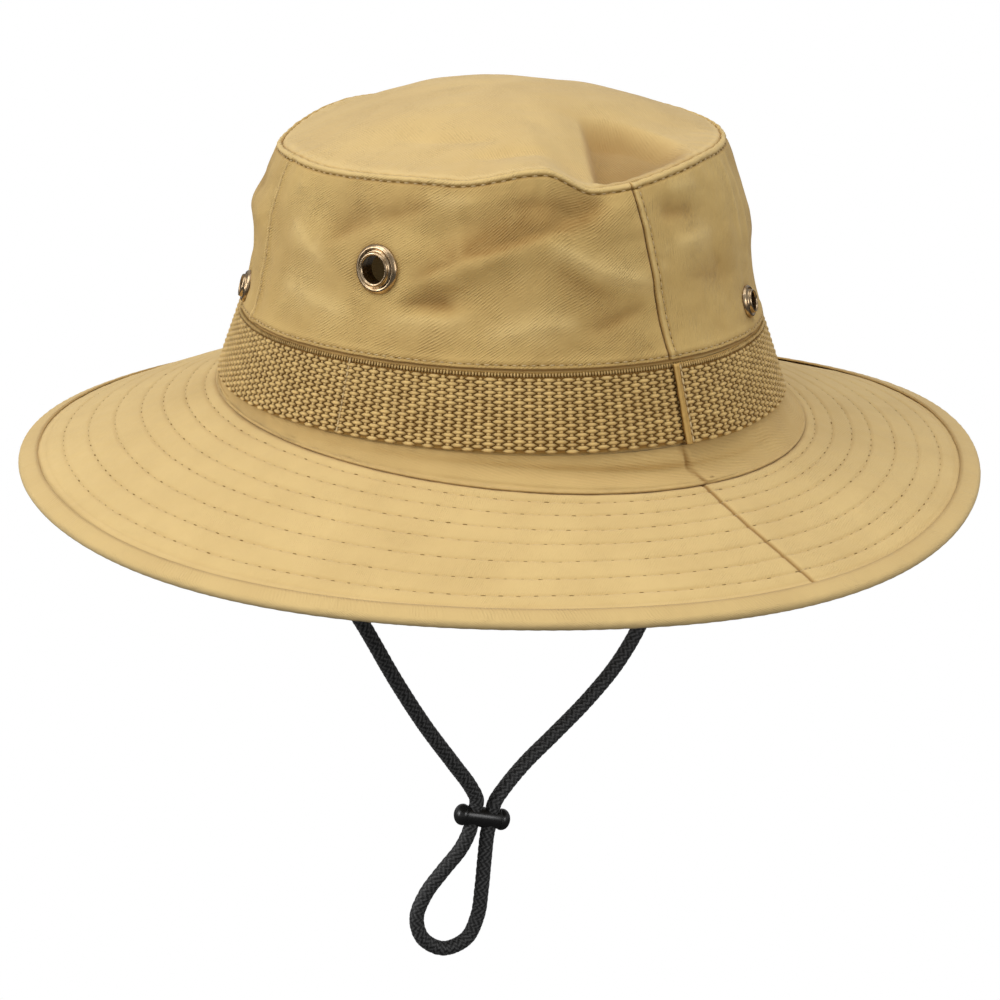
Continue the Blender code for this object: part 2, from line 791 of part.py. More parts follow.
def build_cord(surface):
    points = spaced(smooth_curve(cord_route()), CORD_POINT_PITCH)
    curve = bpy.data.curves.new("chin_cord", "CURVE")
    curve.dimensions = "3D"
    curve.bevel_depth = CORD_DIAMETER / 2
    curve.bevel_resolution = 3
    curve.use_fill_caps = True
    spline = curve.splines.new("POLY")
    spline.points.add(len(points) - 1)
    for place, point in zip(spline.points, points):
        place.co = (*point, 1.0)
    cord = bpy.data.objects.new("chin_cord", curve)
    parts.objects.link(cord)
    curve.materials.append(surface)
    return cord


for existing in list(bpy.data.objects):
    bpy.data.objects.remove(existing)
parts = bpy.data.collections.new("scout_hat")
cutters = bpy.data.collections.new("cutters")
bpy.context.scene.collection.children.link(parts)
bpy.context.scene.collection.children.link(cutters)

cotton = material("khaki cotton", KHAKI, 0.85)
brim_cotton = material("khaki brim cotton", KHAKI, 0.85)
binding_cotton = material("khaki binding", KHAKI, 0.85)
webbing = material("woven webbing", WEBBING_KHAKI, 0.6)
antique_brass = material("antique brass", BRASS, 0.35, 1.0)
black_braid = material("black braid", CORD_BLACK, 0.7)
black_tab = material("black tape", TAB_BLACK, 0.8)
black_plastic = material("black plastic", CORD_BLACK, 0.4)

wall_panels = {name: build_panel(name, left, right, cotton) for name, left, right in PANELS}
build_tip(cotton)
build_base(cotton)
build_brim(brim_cotton)
build_binding(binding_cotton)
build_band(webbing)
build_eyelets(wall_panels, antique_brass)
build_tab("cord_tab_left", -1, black_tab)
build_tab("cord_tab_right", 1, black_tab)
build_cord(black_braid)
build_toggle(black_plastic)
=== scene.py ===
"""Looks of the scout hat: khaki cotton, woven webbing, brass vents and a black braided chin cord.

Lengths are in metres. An azimuth is 0 at the back of the hat (-Y), and a quarter turn at the
wearer's right (+X).
"""

from __future__ import annotations

import json
import logging
import math
from collections.abc import Callable
from dataclasses import asdict, dataclass, fields
from enum import Enum

import bmesh
import bpy
import numpy as np
from mathutils import Matrix, Vector

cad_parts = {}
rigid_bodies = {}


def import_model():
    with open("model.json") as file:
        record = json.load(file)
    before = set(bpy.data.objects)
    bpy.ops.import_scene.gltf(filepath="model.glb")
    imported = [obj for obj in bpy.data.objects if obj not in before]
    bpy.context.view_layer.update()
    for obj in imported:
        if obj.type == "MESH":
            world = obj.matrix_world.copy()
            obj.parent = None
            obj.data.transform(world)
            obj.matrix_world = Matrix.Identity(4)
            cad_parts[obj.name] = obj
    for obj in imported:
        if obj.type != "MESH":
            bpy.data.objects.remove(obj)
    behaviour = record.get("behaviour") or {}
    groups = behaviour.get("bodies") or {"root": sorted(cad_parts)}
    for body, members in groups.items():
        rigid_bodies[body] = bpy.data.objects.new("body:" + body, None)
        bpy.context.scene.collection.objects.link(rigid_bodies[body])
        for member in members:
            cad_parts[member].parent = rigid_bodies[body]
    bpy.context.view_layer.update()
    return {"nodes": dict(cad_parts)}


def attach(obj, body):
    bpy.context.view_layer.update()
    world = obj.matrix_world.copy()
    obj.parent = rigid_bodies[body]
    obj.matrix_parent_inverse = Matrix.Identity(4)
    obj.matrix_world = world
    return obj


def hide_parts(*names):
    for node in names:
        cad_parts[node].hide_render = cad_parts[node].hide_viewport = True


log = logging.getLogger("scout_hat")
Array = np.ndarray
Finish = bpy.types.Material
Piece = bpy.types.Object
MM = 0.001
TURN = 2 * math.pi
LEVEL = np.array([1.0, 1.0, 0.0])

# Height above the hem and inward lean of the crown wall: (share of the height, share of the taper)
WALL_PROFILE = (
    (0.00, 0.00),
    (0.14, 0.15),
    (0.26, 0.26),
    (0.38, 0.35),
    (0.49, 0.39),
    (0.61, 0.45),
    (0.73, 0.56),
    (0.85, 0.70),
    (0.95, 0.87),
    (1.00, 1.00),
)

# Rise and fall of the top seam: (azimuth in degrees, share of the wave)
SEAM_RISES = (
    (-140.0, -1.50),
    (-95.0, -0.62),
    (-50.0, 0.06),
    (-28.0, 1.06),
    (-15.0, -0.32),
    (25.0, 0.64),
    (100.0, 0.10),
    (180.0, -0.60),
)

# Folds of the wall:
# (azimuth from, height share from, azimuth to, height share to, width share, depth share)
WALL_FOLDS = (
    (-9.0, 0.92, -46.0, 0.58, 1.0, 1.1),
    (-22.0, 0.82, -50.0, 0.74, 0.8, -0.9),
    (-52.0, 0.68, -82.0, 0.76, 0.9, -0.9),
    (-38.0, 0.62, -58.0, 0.46, 0.7, 0.6),
    (-47.0, 0.36, -57.0, 0.30, 0.55, -0.8),
    (-112.0, 0.64, -140.0, 0.60, 1.0, 1.3),
    (-126.0, 0.42, -138.0, 0.40, 0.9, -0.5),
    (44.0, 0.56, 52.0, 0.50, 1.6, 0.7),
    (8.0, 0.86, 20.0, 0.60, 1.2, -0.6),
    (150.0, 0.62, 120.0, 0.78, 1.1, -0.8),
    (-168.0, 0.50, 170.0, 0.66, 1.2, 0.8),
)

# Dents of the tip along lines in plan: (x from, y from, x to, y to, width share, depth share)
TIP_DENTS = (
    (-0.16, -0.88, 0.14, -0.54, 0.95, -1.0),
    (0.12, -0.80, 0.44, -0.62, 1.30, -0.6),
    (-0.72, -0.22, -0.70, -0.40, 1.00, -0.4),
    (-0.50, 0.30, -0.20, 0.75, 2.30, -0.5),
    (0.50, 0.45, 0.15, 0.70, 1.50, -0.4),
)

# Slow rise and fall of the rim: (waves round the hat, cosine share, sine share)
RIM_WAVES = ((1, 0.05, 0.90), (2, -0.57, 0.69), (3, -0.26, -0.34), (4, -0.09, -0.23))

# Creases of the finished cloth, finer than the solids have them: (azimuth from, height share from,
# azimuth to, height share to, half width in mm to the left of that way, to its right, height in mm)
CREASES = (
    (-28.0, 0.69, -13.0, 0.93, 6.5, 3.2, -2.2),
    (-47.0, 0.60, -27.0, 0.69, 8.0, 1.5, -2.5),
    (-60.0, 0.42, -46.0, 0.60, 6.0, 1.5, -1.3),
    (-28.0, 0.65, -1.0, 0.42, 3.4, 5.0, 1.2),
    (-26.0, 0.50, -10.0, 0.36, 4.5, 4.5, -1.0),
    (-61.0, 0.31, -47.0, 0.31, 4.2, 1.8, -1.7),
    (-64.0, 0.23, -44.0, 0.25, 3.0, 4.0, 0.7),
    (-80.0, 0.62, -68.0, 0.74, 5.5, 2.4, -1.3),
    (-68.0, 0.74, -54.0, 0.86, 5.0, 2.4, -1.0),
    (-92.0, 0.68, -80.0, 0.46, 3.0, 4.0, 0.9),
    (-94.0, 0.30, -72.0, 0.20, 5.0, 4.0, 0.8),
    (-42.0, 0.16, -20.0, 0.24, 5.0, 3.0, 0.8),
    (-18.0, 0.20, -4.0, 0.32, 4.0, 2.5, -1.0),
    (-38.0, 0.84, -20.0, 0.80, 3.0, 3.0, -0.7),
    (-58.0, 0.90, -42.0, 0.88, 3.0, 3.0, 0.6),
    (2.0, 0.80, 14.0, 0.74, 4.0, 2.6, -1.3),
    (6.0, 0.92, 16.0, 0.88, 3.0, 3.0, 0.8),
    (4.0, 0.62, 20.0, 0.60, 3.0, 5.0, 0.9),
    (8.0, 0.42, 26.0, 0.34, 5.0, 3.0, -0.8),
    (34.0, 0.46, 31.0, 0.97, 1.1, 1.1, 0.6),
    (39.0, 0.46, 36.5, 0.97, 1.1, 1.1, 0.6),
    (60.0, 0.80, 86.0, 0.66, 4.0, 4.0, 1.1),
    (66.0, 0.36, 92.0, 0.30, 5.0, 2.5, -1.0),
    (118.0, 0.74, 150.0, 0.62, 4.5, 4.5, 1.2),
    (126.0, 0.36, 160.0, 0.44, 6.0, 2.5, -1.1),
    (176.0, 0.80, -150.0, 0.66, 4.5, 4.5, 1.1),
    (-176.0, 0.34, -146.0, 0.30, 6.0, 2.5, -1.0),
    (-134.0, 0.82, -116.0, 0.74, 4.0, 4.0, -0.6),
)

# Rings of quilting on the brim, as shares of the way from the crown to the rim
QUILTING = (0.062, 0.160, 0.273, 0.384, 0.519, 0.653, 0.781)


def linear(hex_colour: str) -> tuple[float, float, float, float]:
    """Turns an sRGB hex colour into linear light.

    Args:
        hex_colour: the colour, such as "#D2B273".

    Returns:
        Linear red, green and blue, and an alpha of 1.
    """
    values = [int(hex_colour[i : i + 2], 16) / 255 for i in (1, 3, 5)]
    red, green, blue = (v / 12.92 if v <= 0.04045 else ((v + 0.055) / 1.055) ** 2.4 for v in values)
    return red, green, blue, 1.0


def ease(share: Array | float) -> Array:
    """A smooth step from 0 to 1 as share goes from 0 to 1."""
    share = np.clip(share, 0.0, 1.0)
    return share * share * (3 - 2 * share)


def bell(distance: Array, width: float) -> Array:
    """A soft bump of height 1 at distance 0, this wide."""
    return np.exp(-((distance / width) ** 2))


def wrapped(turn: Array | float) -> Array:
    """The same turn between minus and plus half a circle."""
    return (np.asarray(turn) + math.pi) % TURN - math.pi


def puckers(azimuth: Array, radius: float, pitch: float, uneven: Array) -> Array:
    """Waves of about this pitch, from -1 to 1, that close on themselves round the hat."""
    return np.sin(azimuth * round(TURN * radius / pitch) + uneven)


def round_the_hat(table: tuple[tuple[float, float], ...], azimuth: Array) -> Array:
    """Reads a table that runs once round the hat.

    Args:
        table: rows of degrees and a value, rising in degrees.
        azimuth: where to read it, in radians.

    Returns:
        The value there, eased between rows.
    """
    rows = ((table[-1][0] - 360, table[-1][1]),) + table + ((table[0][0] + 360, table[0][1]),)
    places = np.array([row[0] for row in rows])
    values = np.array([row[1] for row in rows])
    degrees = np.degrees(wrapped(azimuth))
    after = np.clip(np.searchsorted(places, degrees), 1, len(places) - 1)
    share = ease((degrees - places[after - 1]) / (places[after] - places[after - 1]))
    return values[after - 1] + (values[after] - values[after - 1]) * share


def oval(azimuth: Array, half_length: Array | float, half_width: Array | float) -> Array:
    """Points of a level oval round the hat's middle."""
    flat = np.zeros_like(azimuth)
    return np.stack([half_width * np.sin(azimuth) + flat, -half_length * np.cos(azimuth) + flat, flat], -1)


def distance_to_line(x: Array, y: Array, start: tuple[float, float], end: tuple[float, float]) -> Array:
    """How far flat points are from a straight line between two others.

    Args:
        x: Places across.
        y: Places along.
        start: One end of the line.
        end: Its other end.

    Returns:
        The distances.
    """
    way = (end[0] - start[0], end[1] - start[1])
    reach = max(way[0] ** 2 + way[1] ** 2, 1e-12)
    share = np.clip(((x - start[0]) * way[0] + (y - start[1]) * way[1]) / reach, 0, 1)
    return np.hypot(x - start[0] - way[0] * share, y - start[1] - way[1] * share)


def crease(
    x: Array,
    y: Array,
    start: tuple[float, float],
    end: tuple[float, float],
    left: float,
    right: float,
) -> Array:
    """A crease of height 1 along a line: crisp at its top and running out at both ends.

    Args:
        x: flat places, across.
        y: flat places, up.
        start: where the crease begins.
        end: where it ends.
        left: its half width on the left of the way from start to end.
        right: its half width on the right.

    Returns:
        The height of the crease at each place.
    """
    way = (end[0] - start[0], end[1] - start[1])
    share = ((x - start[0]) * way[0] + (y - start[1]) * way[1]) / (way[0] ** 2 + way[1] ** 2)
    side = (y - start[1]) * way[0] - (x - start[0]) * way[1]
    width = np.where(side > 0, left, right)
    reach = distance_to_line(x, y, start, end)
    crisp = np.exp(0.3 - np.sqrt((1.2 * reach / width) ** 2 + 0.3**2))
    return crisp * (1 - 0.8 * np.clip(np.abs(2 * share - 1), 0, 1) ** 3)


def unit(vectors: Array) -> Array:
    """The same directions with length 1."""
    return vectors / np.maximum(np.linalg.norm(vectors, axis=-1, keepdims=True), 1e-12)


def travelled(path: Array) -> Array:
    """How far along a path each of its points is."""
    return np.concatenate([[0], np.cumsum(np.linalg.norm(np.diff(path, axis=0), axis=1))])


def toward(azimuth: float, elevation: float) -> Vector:
    """The way from the hat to a place at this azimuth and elevation."""
    level = math.cos(elevation)
    return Vector((math.sin(azimuth) * level, -math.cos(azimuth) * level, math.sin(elevation)))


def lap(reach: Array, width: float) -> Array:
    """1 where a seam's lap lies, this wide on one side of the seam, and 0 elsewhere."""
    return ease(reach / (0.6 * MM)) * (1 - ease((reach - width) / (0.9 * MM)))


def turned_edge(inward: Array, width: float) -> Array:
    """How far cloth has turned away at a rounded edge this wide, from 0 inside to nearly 1 at the edge."""
    share = np.clip(1 - inward / width, 0, 1)
    return 1 - np.sqrt(1 - share**2 * 0.98)


class Ripples:
    """Soft seeded unevenness, the same wherever it is read from."""

    def __init__(self, seed: int, shortest: float, longest: float, waves: int = 9) -> None:
        """Draws the waves.

        Args:
            seed: which unevenness.
            shortest: the shortest wave, in metres.
            longest: the longest wave, in metres.
            waves: how many are summed.
        """
        random = np.random.default_rng(seed)
        self.ways = unit(random.normal(size=(waves, 3)))
        self.ways *= (TURN / random.uniform(shortest, longest, waves))[:, None]
        self.phases = random.uniform(0, TURN, waves)

    def at(self, points: Array) -> Array:
        """The unevenness at these points, from about -1 to 1."""
        return np.sin(points @ self.ways.T + self.phases).sum(-1) / math.sqrt(len(self.phases) * 2)


@dataclass(frozen=True)
class Seam:
    """A seam of the crown wall, from the hem to the top."""

    hem_degrees: float
    top_degrees: float
    lap_side: int

    def azimuth(self, share: Array) -> Array:
        """Where the seam runs at this share of the wall's height."""
        return np.radians(self.hem_degrees + (self.top_degrees - self.hem_degrees) * share)


SEAMS = {"back": Seam(0.0, -5.0, 1), "right": Seam(106.0, 104.0, -1), "left": Seam(-106.0, -104.0, 1)}


@dataclass(frozen=True)
class Vent:
    """A brass eyelet of the crown."""

    node: str
    degrees: float
    share: float
    size: float


VENTS = (
    Vent("eyelet_left_back", -66.0, 0.49, 1.0),
    Vent("eyelet_left_front", -117.0, 0.135, 0.68),
    Vent("eyelet_right_back", 33.5, 0.16, 0.68),
    Vent("eyelet_right_front", 84.5, 0.49, 1.0),
)


@dataclass(frozen=True)
class HatForm:
    """The plain shape of the hat, as its solids have it."""

    crown_length: float = 0.2142
    crown_width: float = 0.1812
    cloth: float = 0.0018
    clearance: float = 0.0003
    hem_height: float = 0.0248
    base_lean: float = 0.0084
    hem_lap: float = 0.0025
    front_narrowing: float = 0.0034
    narrowing_start: float = math.radians(85.0)
    narrowing_spread: float = math.radians(50.0)
    foot_tilt: tuple[float, float] = (0.0014, -0.0011)
    hem_tilt: tuple[float, float] = (0.003, -0.001)
    wall_height: float = 0.0602
    wall_taper: float = 0.0144
    seam_wave: float = 0.005
    tip_rise: float = 0.0155
    tip_roundness: float = 2.1
    fold_width: float = 0.008
    fold_depth: float = 0.002
    dent_width: float = 0.012
    dent_depth: float = 0.0045
    flare_back: float = 0.0116
    flare_front: float = 0.003
    flare_spread: tuple[float, float] = (0.0036, 0.0031)
    flare_shift: tuple[float, float] = (0.0019, 0.0053)
    brim_width: float = 0.0645
    brim_drop: float = 0.0281
    brim_thickness: float = 0.0016
    brim_wave: float = 0.0035
    binding_width: float = 0.0066
    binding_cloth: float = 0.0006
    eyelet_calm: float = 0.014

    def crown_oval(self, azimuth: Array, inset: Array | float) -> Array:
        """The crown's oval this far inside the foot of its base.

        Args:
            azimuth: Where round the hat.
            inset: How far inside.

        Returns:
            The points.
        """
        beyond = np.abs(wrapped(azimuth)) - self.narrowing_start
        inset = inset + self.front_narrowing * ease(beyond / self.narrowing_spread)
        return oval(azimuth, self.crown_length / 2 - inset, self.crown_width / 2 - inset)

    def foot_height(self, azimuth: Array) -> Array:
        """Height of the foot of the webbing."""
        return self.foot_tilt[0] * np.cos(azimuth) + self.foot_tilt[1] * np.sin(azimuth)

    def hem(self, azimuth: Array) -> Array:
        """Height of the wall's hem."""
        return self.hem_height + self.hem_tilt[0] * np.cos(azimuth) + self.hem_tilt[1] * np.sin(azimuth)

    def seam(self, azimuth: Array) -> Array:
        """Height of the top seam."""
        return self.hem_height + self.wall_height + self.seam_wave * round_the_hat(SEAM_RISES, azimuth)

    def wall_inset(self, share: Array) -> Array:
        """Inward lean of the wall, with the table's corners smoothed.

        Args:
            share: How far along, from 0 to 1.

        Returns:
            The lean.
        """
        table = np.array(WALL_PROFILE)
        blur = np.linspace(-0.05, 0.05, 5)
        fade = np.minimum(1, 12 * np.minimum(share, 1 - share))
        reads = [np.interp(share + step * fade, table[:, 0], table[:, 1]) for step in blur]
        return self.wall_taper * np.mean(reads, axis=0)

    @property
    def hem_inset(self) -> float:
        """How far the wall's outside at the hem stands inside the foot."""
        return self.base_lean - self.cloth - self.clearance

    @property
    def mean_radius(self) -> float:
        """The radius that the wall is laid flat with."""
        return (self.crown_length + self.crown_width) / 4 - self.base_lean

    def calm(self, azimuth: Array, share: Array) -> Array:
        """0 under an eyelet and 1 away from it.

        Args:
            azimuth: Where round the hat.
            share: How far along, from 0 to 1.

        Returns:
            The shares.
        """
        calm = np.ones_like(share)
        for vent in VENTS:
            across = wrapped(azimuth - math.radians(vent.degrees)) * self.mean_radius
            reach = np.hypot(across, (share - vent.share) * self.wall_height)
            calm = calm * ease((reach / (self.eyelet_calm * vent.size) - 0.6) / 0.9)
        return calm

    def laid_flat(self, azimuth: Array, ends: tuple[float, ...]) -> tuple[Array, tuple, tuple]:
        """The wall rolled out flat from where a fold starts.

        Args:
            azimuth: where round the hat.
            ends: the fold's azimuth from in degrees, height share from, azimuth to and height share to.

        Returns:
            How far across each place is, and the fold's two ends.
        """
        start = math.radians(ends[0])
        end = start + float(wrapped(math.radians(ends[2]) - start))
        across = (start + wrapped(azimuth - start)) * self.mean_radius
        first = (start * self.mean_radius, ends[1] * self.wall_height)
        return across, first, (end * self.mean_radius, ends[3] * self.wall_height)

    def folds(self, azimuth: Array, share: Array) -> Array:
        """How far the wall's soft folds stand out.

        Args:
            azimuth: Where round the hat.
            share: How far along, from 0 to 1.

        Returns:
            The heights.
        """
        relief = np.zeros_like(share)
        for *ends, width, depth in WALL_FOLDS:
            across, first, last = self.laid_flat(azimuth, ends)
            reach = distance_to_line(across, share * self.wall_height, first, last)
            relief += depth * self.fold_depth * bell(reach, width * self.fold_width)
        return relief * self.calm(azimuth, share)

    def wall(self, azimuth: Array, share: Array) -> Array:
        """Points of the wall's outside, from the hem (0) to the top seam (1).

        Args:
            azimuth: Where round the hat.
            share: How far along, from 0 to 1.

        Returns:
            The points.
        """
        points = self.crown_oval(azimuth, self.hem_inset + self.wall_inset(share))
        swell = np.sqrt(np.maximum(np.sin(math.pi * ease(share)), 0))
        points = points + unit(points) * (self.folds(azimuth, share) * swell)[..., None]
        low = self.hem(azimuth)
        points[..., 2] = low + (self.seam(azimuth) - low) * share
        return points

    def tip(self, azimuth: Array, share: Array) -> Array:
        """Points of the tip's top, from its middle (0) to the top seam (1).

        Args:
            azimuth: Where round the hat.
            share: How far along, from 0 to 1.

        Returns:
            The points.
        """
        inset = self.hem_inset + self.wall_taper + self.cloth + self.clearance
        half_length = self.crown_length / 2 - inset
        half_width = self.crown_width / 2 - inset
        points = self.crown_oval(azimuth, inset) * share[..., None]
        middle = self.hem_height + self.wall_height
        rise = (self.seam(azimuth) - self.clearance - middle) * share**4
        height = middle + rise + self.tip_rise * (1 - share**self.tip_roundness)
        fade = ease((1 - share) / 0.12)
        for from_x, from_y, to_x, to_y, width, depth in TIP_DENTS:
            start = (from_x * half_width, from_y * half_length)
            end = (to_x * half_width, to_y * half_length)
            reach = distance_to_line(points[..., 0], points[..., 1], start, end)
            height = height + depth * self.dent_depth * bell(reach, width * self.dent_width) * fade
        points[..., 2] = height
        return points

    def base(self, azimuth: Array, share: Array, outward: Array | float = 0.0) -> Array:
        """Points of the base strip's outside, from the foot of the band (0) to the hem (1) and above.

        Args:
            azimuth: Where round the hat.
            share: How far along, from 0 to 1.
            outward: Extra distance outwards.

        Returns:
            The points.
        """
        above = np.maximum(share - 1, 0) * self.hem_height / self.wall_height
        inset = self.base_lean * np.minimum(share, 1) + self.wall_inset(above) - outward
        points = self.crown_oval(azimuth, inset)
        low = self.foot_height(azimuth)
        points[..., 2] = low + (self.hem(azimuth) - low) * share
        return points

    def join_oval(self, azimuth: Array, beyond: float = 0.0) -> Array:
        """A level oval this far beyond the brim's inner edge."""
        half_length = self.crown_length / 2 + self.flare_spread[0] + beyond
        return oval(azimuth, half_length, self.crown_width / 2 + self.flare_spread[1] + beyond)

    def join(self, azimuth: Array) -> Array:
        """Where the base strip meets the brim.

        Args:
            azimuth: Where round the hat.

        Returns:
            The points.
        """
        points = self.join_oval(azimuth) + np.array([self.flare_shift[0], -self.flare_shift[1], 0.0])
        drop = self.flare_front + (self.flare_back - self.flare_front) * ((1 + np.cos(azimuth)) / 2) ** 1.7
        points[..., 2] = self.foot_height(azimuth) - drop
        return points

    def flare(self, azimuth: Array, share: Array) -> Array:
        """Points of the base strip's outside, from the band (0) down to the brim (1).

        Args:
            azimuth: Where round the hat.
            share: How far along, from 0 to 1.

        Returns:
            The points.
        """
        start = self.base(azimuth, np.zeros_like(share))
        end = self.join(azimuth)
        points = start + (end - start) * share[..., None]
        points[..., 2] = start[..., 2] + (end[..., 2] - start[..., 2]) * (1 - (1 - share) ** 1.6)
        return points

    def rim(self, azimuth: Array) -> Array:
        """The outer edge of the brim.

        Args:
            azimuth: Where round the hat.

        Returns:
            The points.
        """
        points = self.join_oval(azimuth, self.brim_width)
        height = np.full_like(azimuth, -self.brim_drop - self.flare_front)
        for waves, cosine, sine in RIM_WAVES:
            height += self.brim_wave * (cosine * np.cos(waves * azimuth) + sine * np.sin(waves * azimuth))
        points[..., 2] = height
        return points

    def brim_frame(self, azimuth: Array) -> tuple[Array, Array, Array, Array]:
        """The join, the way down the brim, the length that way and the brim's upward normal.

        Args:
            azimuth: Where round the hat.

        Returns:
            Points, unit ways, lengths and unit normals.
        """
        start = self.join(azimuth)
        way = self.rim(azimuth) - start
        step = math.radians(0.5)
        along = self.join(azimuth + step) - self.join(azimuth - step)
        along = along + self.rim(azimuth + step) - self.rim(azimuth - step)
        return start, unit(way), np.linalg.norm(way, axis=-1), unit(np.cross(way, along))

    def brim(self, azimuth: Array, share: Array) -> Array:
        """Points of the brim's top, from the crown (0) to its edge inside the binding (1).

        Args:
            azimuth: Where round the hat.
            share: How far along, from 0 to 1.

        Returns:
            The points.
        """
        start, way, length, _ = self.brim_frame(azimuth)
        edge = length - self.binding_cloth - self.clearance
        return start + way * (self.clearance + (edge - self.clearance) * share)[..., None]


Surface = Callable[[Array, Array], Array]


@dataclass
class Places:
    """Where repeated small pieces go: points, the way each lies and the way it faces."""

    points: Array
    along: Array
    out: Array

    def sunk(self, depth: float) -> Places:
        """The same places this much deeper."""
        return Places(self.points - self.out * depth, self.along, self.out)

    @staticmethod
    def joined(several: list[Places]) -> Places:
        """Several sets of places as one.

        Args:
            several: The sets.

        Returns:
            One set.
        """
        return Places(
            np.concatenate([p.points for p in several]),
            np.concatenate([p.along for p in several]),
            np.concatenate([p.out for p in several]),
        )


@dataclass(frozen=True)
class StitchRow:
    """A row of stitches that runs over a surface along a line of its two parameters."""

    surface: Surface
    first: Array
    second: Array
    pitch: float
    facing: int = 1

    def places(self, offset: float = 0.0) -> Places:
        """Spreads stitches evenly along the row.

        Args:
            offset: how far along the row they start, as a share of the pitch.

        Returns:
            A place for each stitch, on the surface.
        """
        path = self.surface(self.first, self.second)
        lengths = travelled(path)
        count = max(int(round(lengths[-1] / self.pitch)), 1)
        wanted = (np.arange(count) + 0.5 + offset) * lengths[-1] / count
        wanted = wanted[wanted < lengths[-1]]
        first = np.interp(wanted, lengths, self.first)
        second = np.interp(wanted, lengths, self.second)
        points = self.surface(first, second)
        reach = 0.25 * self.pitch
        behind, ahead = (
            self.surface(np.interp(place, lengths, self.first), np.interp(place, lengths, self.second))
            for place in (np.maximum(wanted - reach, 0), np.minimum(wanted + reach, lengths[-1]))
        )
        turn = self.surface(first + 0.004, second) - self.surface(first - 0.004, second)
        rise = self.surface(first, second + 0.004) - self.surface(first, second - 0.004)
        return Places(points, unit(ahead - behind), unit(np.cross(turn, rise)) * self.facing)


def feed(node: bpy.types.Node, inputs: dict[int | str, object]) -> None:
    """Gives a node's inputs, by name or place, their values or links.

    Args:
        node: the node.
        inputs: plain values, sockets, or nodes whose first output is meant.
    """
    for key, value in inputs.items():
        if isinstance(value, bpy.types.Node):
            value = value.outputs[0]
        if isinstance(value, bpy.types.NodeSocket):
            node.id_data.links.new(value, node.inputs[key])
        else:
            node.inputs[key].default_value = value


def add(
    tree: bpy.types.NodeTree, kind: str, inputs: dict[int | str, object] | None = None, **choices: object
) -> bpy.types.Node:
    """Adds a node.

    Args:
        tree: where it goes.
        kind: its type.
        inputs: what its inputs are fed, by name or place.
        **choices: its other settings.

    Returns:
        The node.
    """
    node = tree.nodes.new(kind)
    for name, value in choices.items():
        setattr(node, name, value)
    feed(node, inputs or {})
    return node


def blank_finish(name: str) -> tuple[Finish, bpy.types.NodeTree, bpy.types.Node]:
    """A new material with its node tree and its shader.

    Args:
        name: The finish's name.

    Returns:
        The finish, its tree and its shader.
    """
    made = bpy.data.materials.new(name)
    made.use_nodes = True
    return made, made.node_tree, made.node_tree.nodes["Principled BSDF"]


def placed(name: str, data: bpy.types.ID) -> Piece:
    """A new object in the scene that shows this mesh, light or camera.

    Args:
        name: The object's name.
        data: What it shows.

    Returns:
        The piece.
    """
    made = bpy.data.objects.new(name, data)
    bpy.context.scene.collection.objects.link(made)
    return made


@dataclass(frozen=True)
class SmallShape:
    """The rounded shape that is repeated, and how unevenly it is laid."""

    length: float
    width: float
    height: float
    segments: int = 8
    rings: int = 4
    uneven: float = 0.08
    seed: int = 1


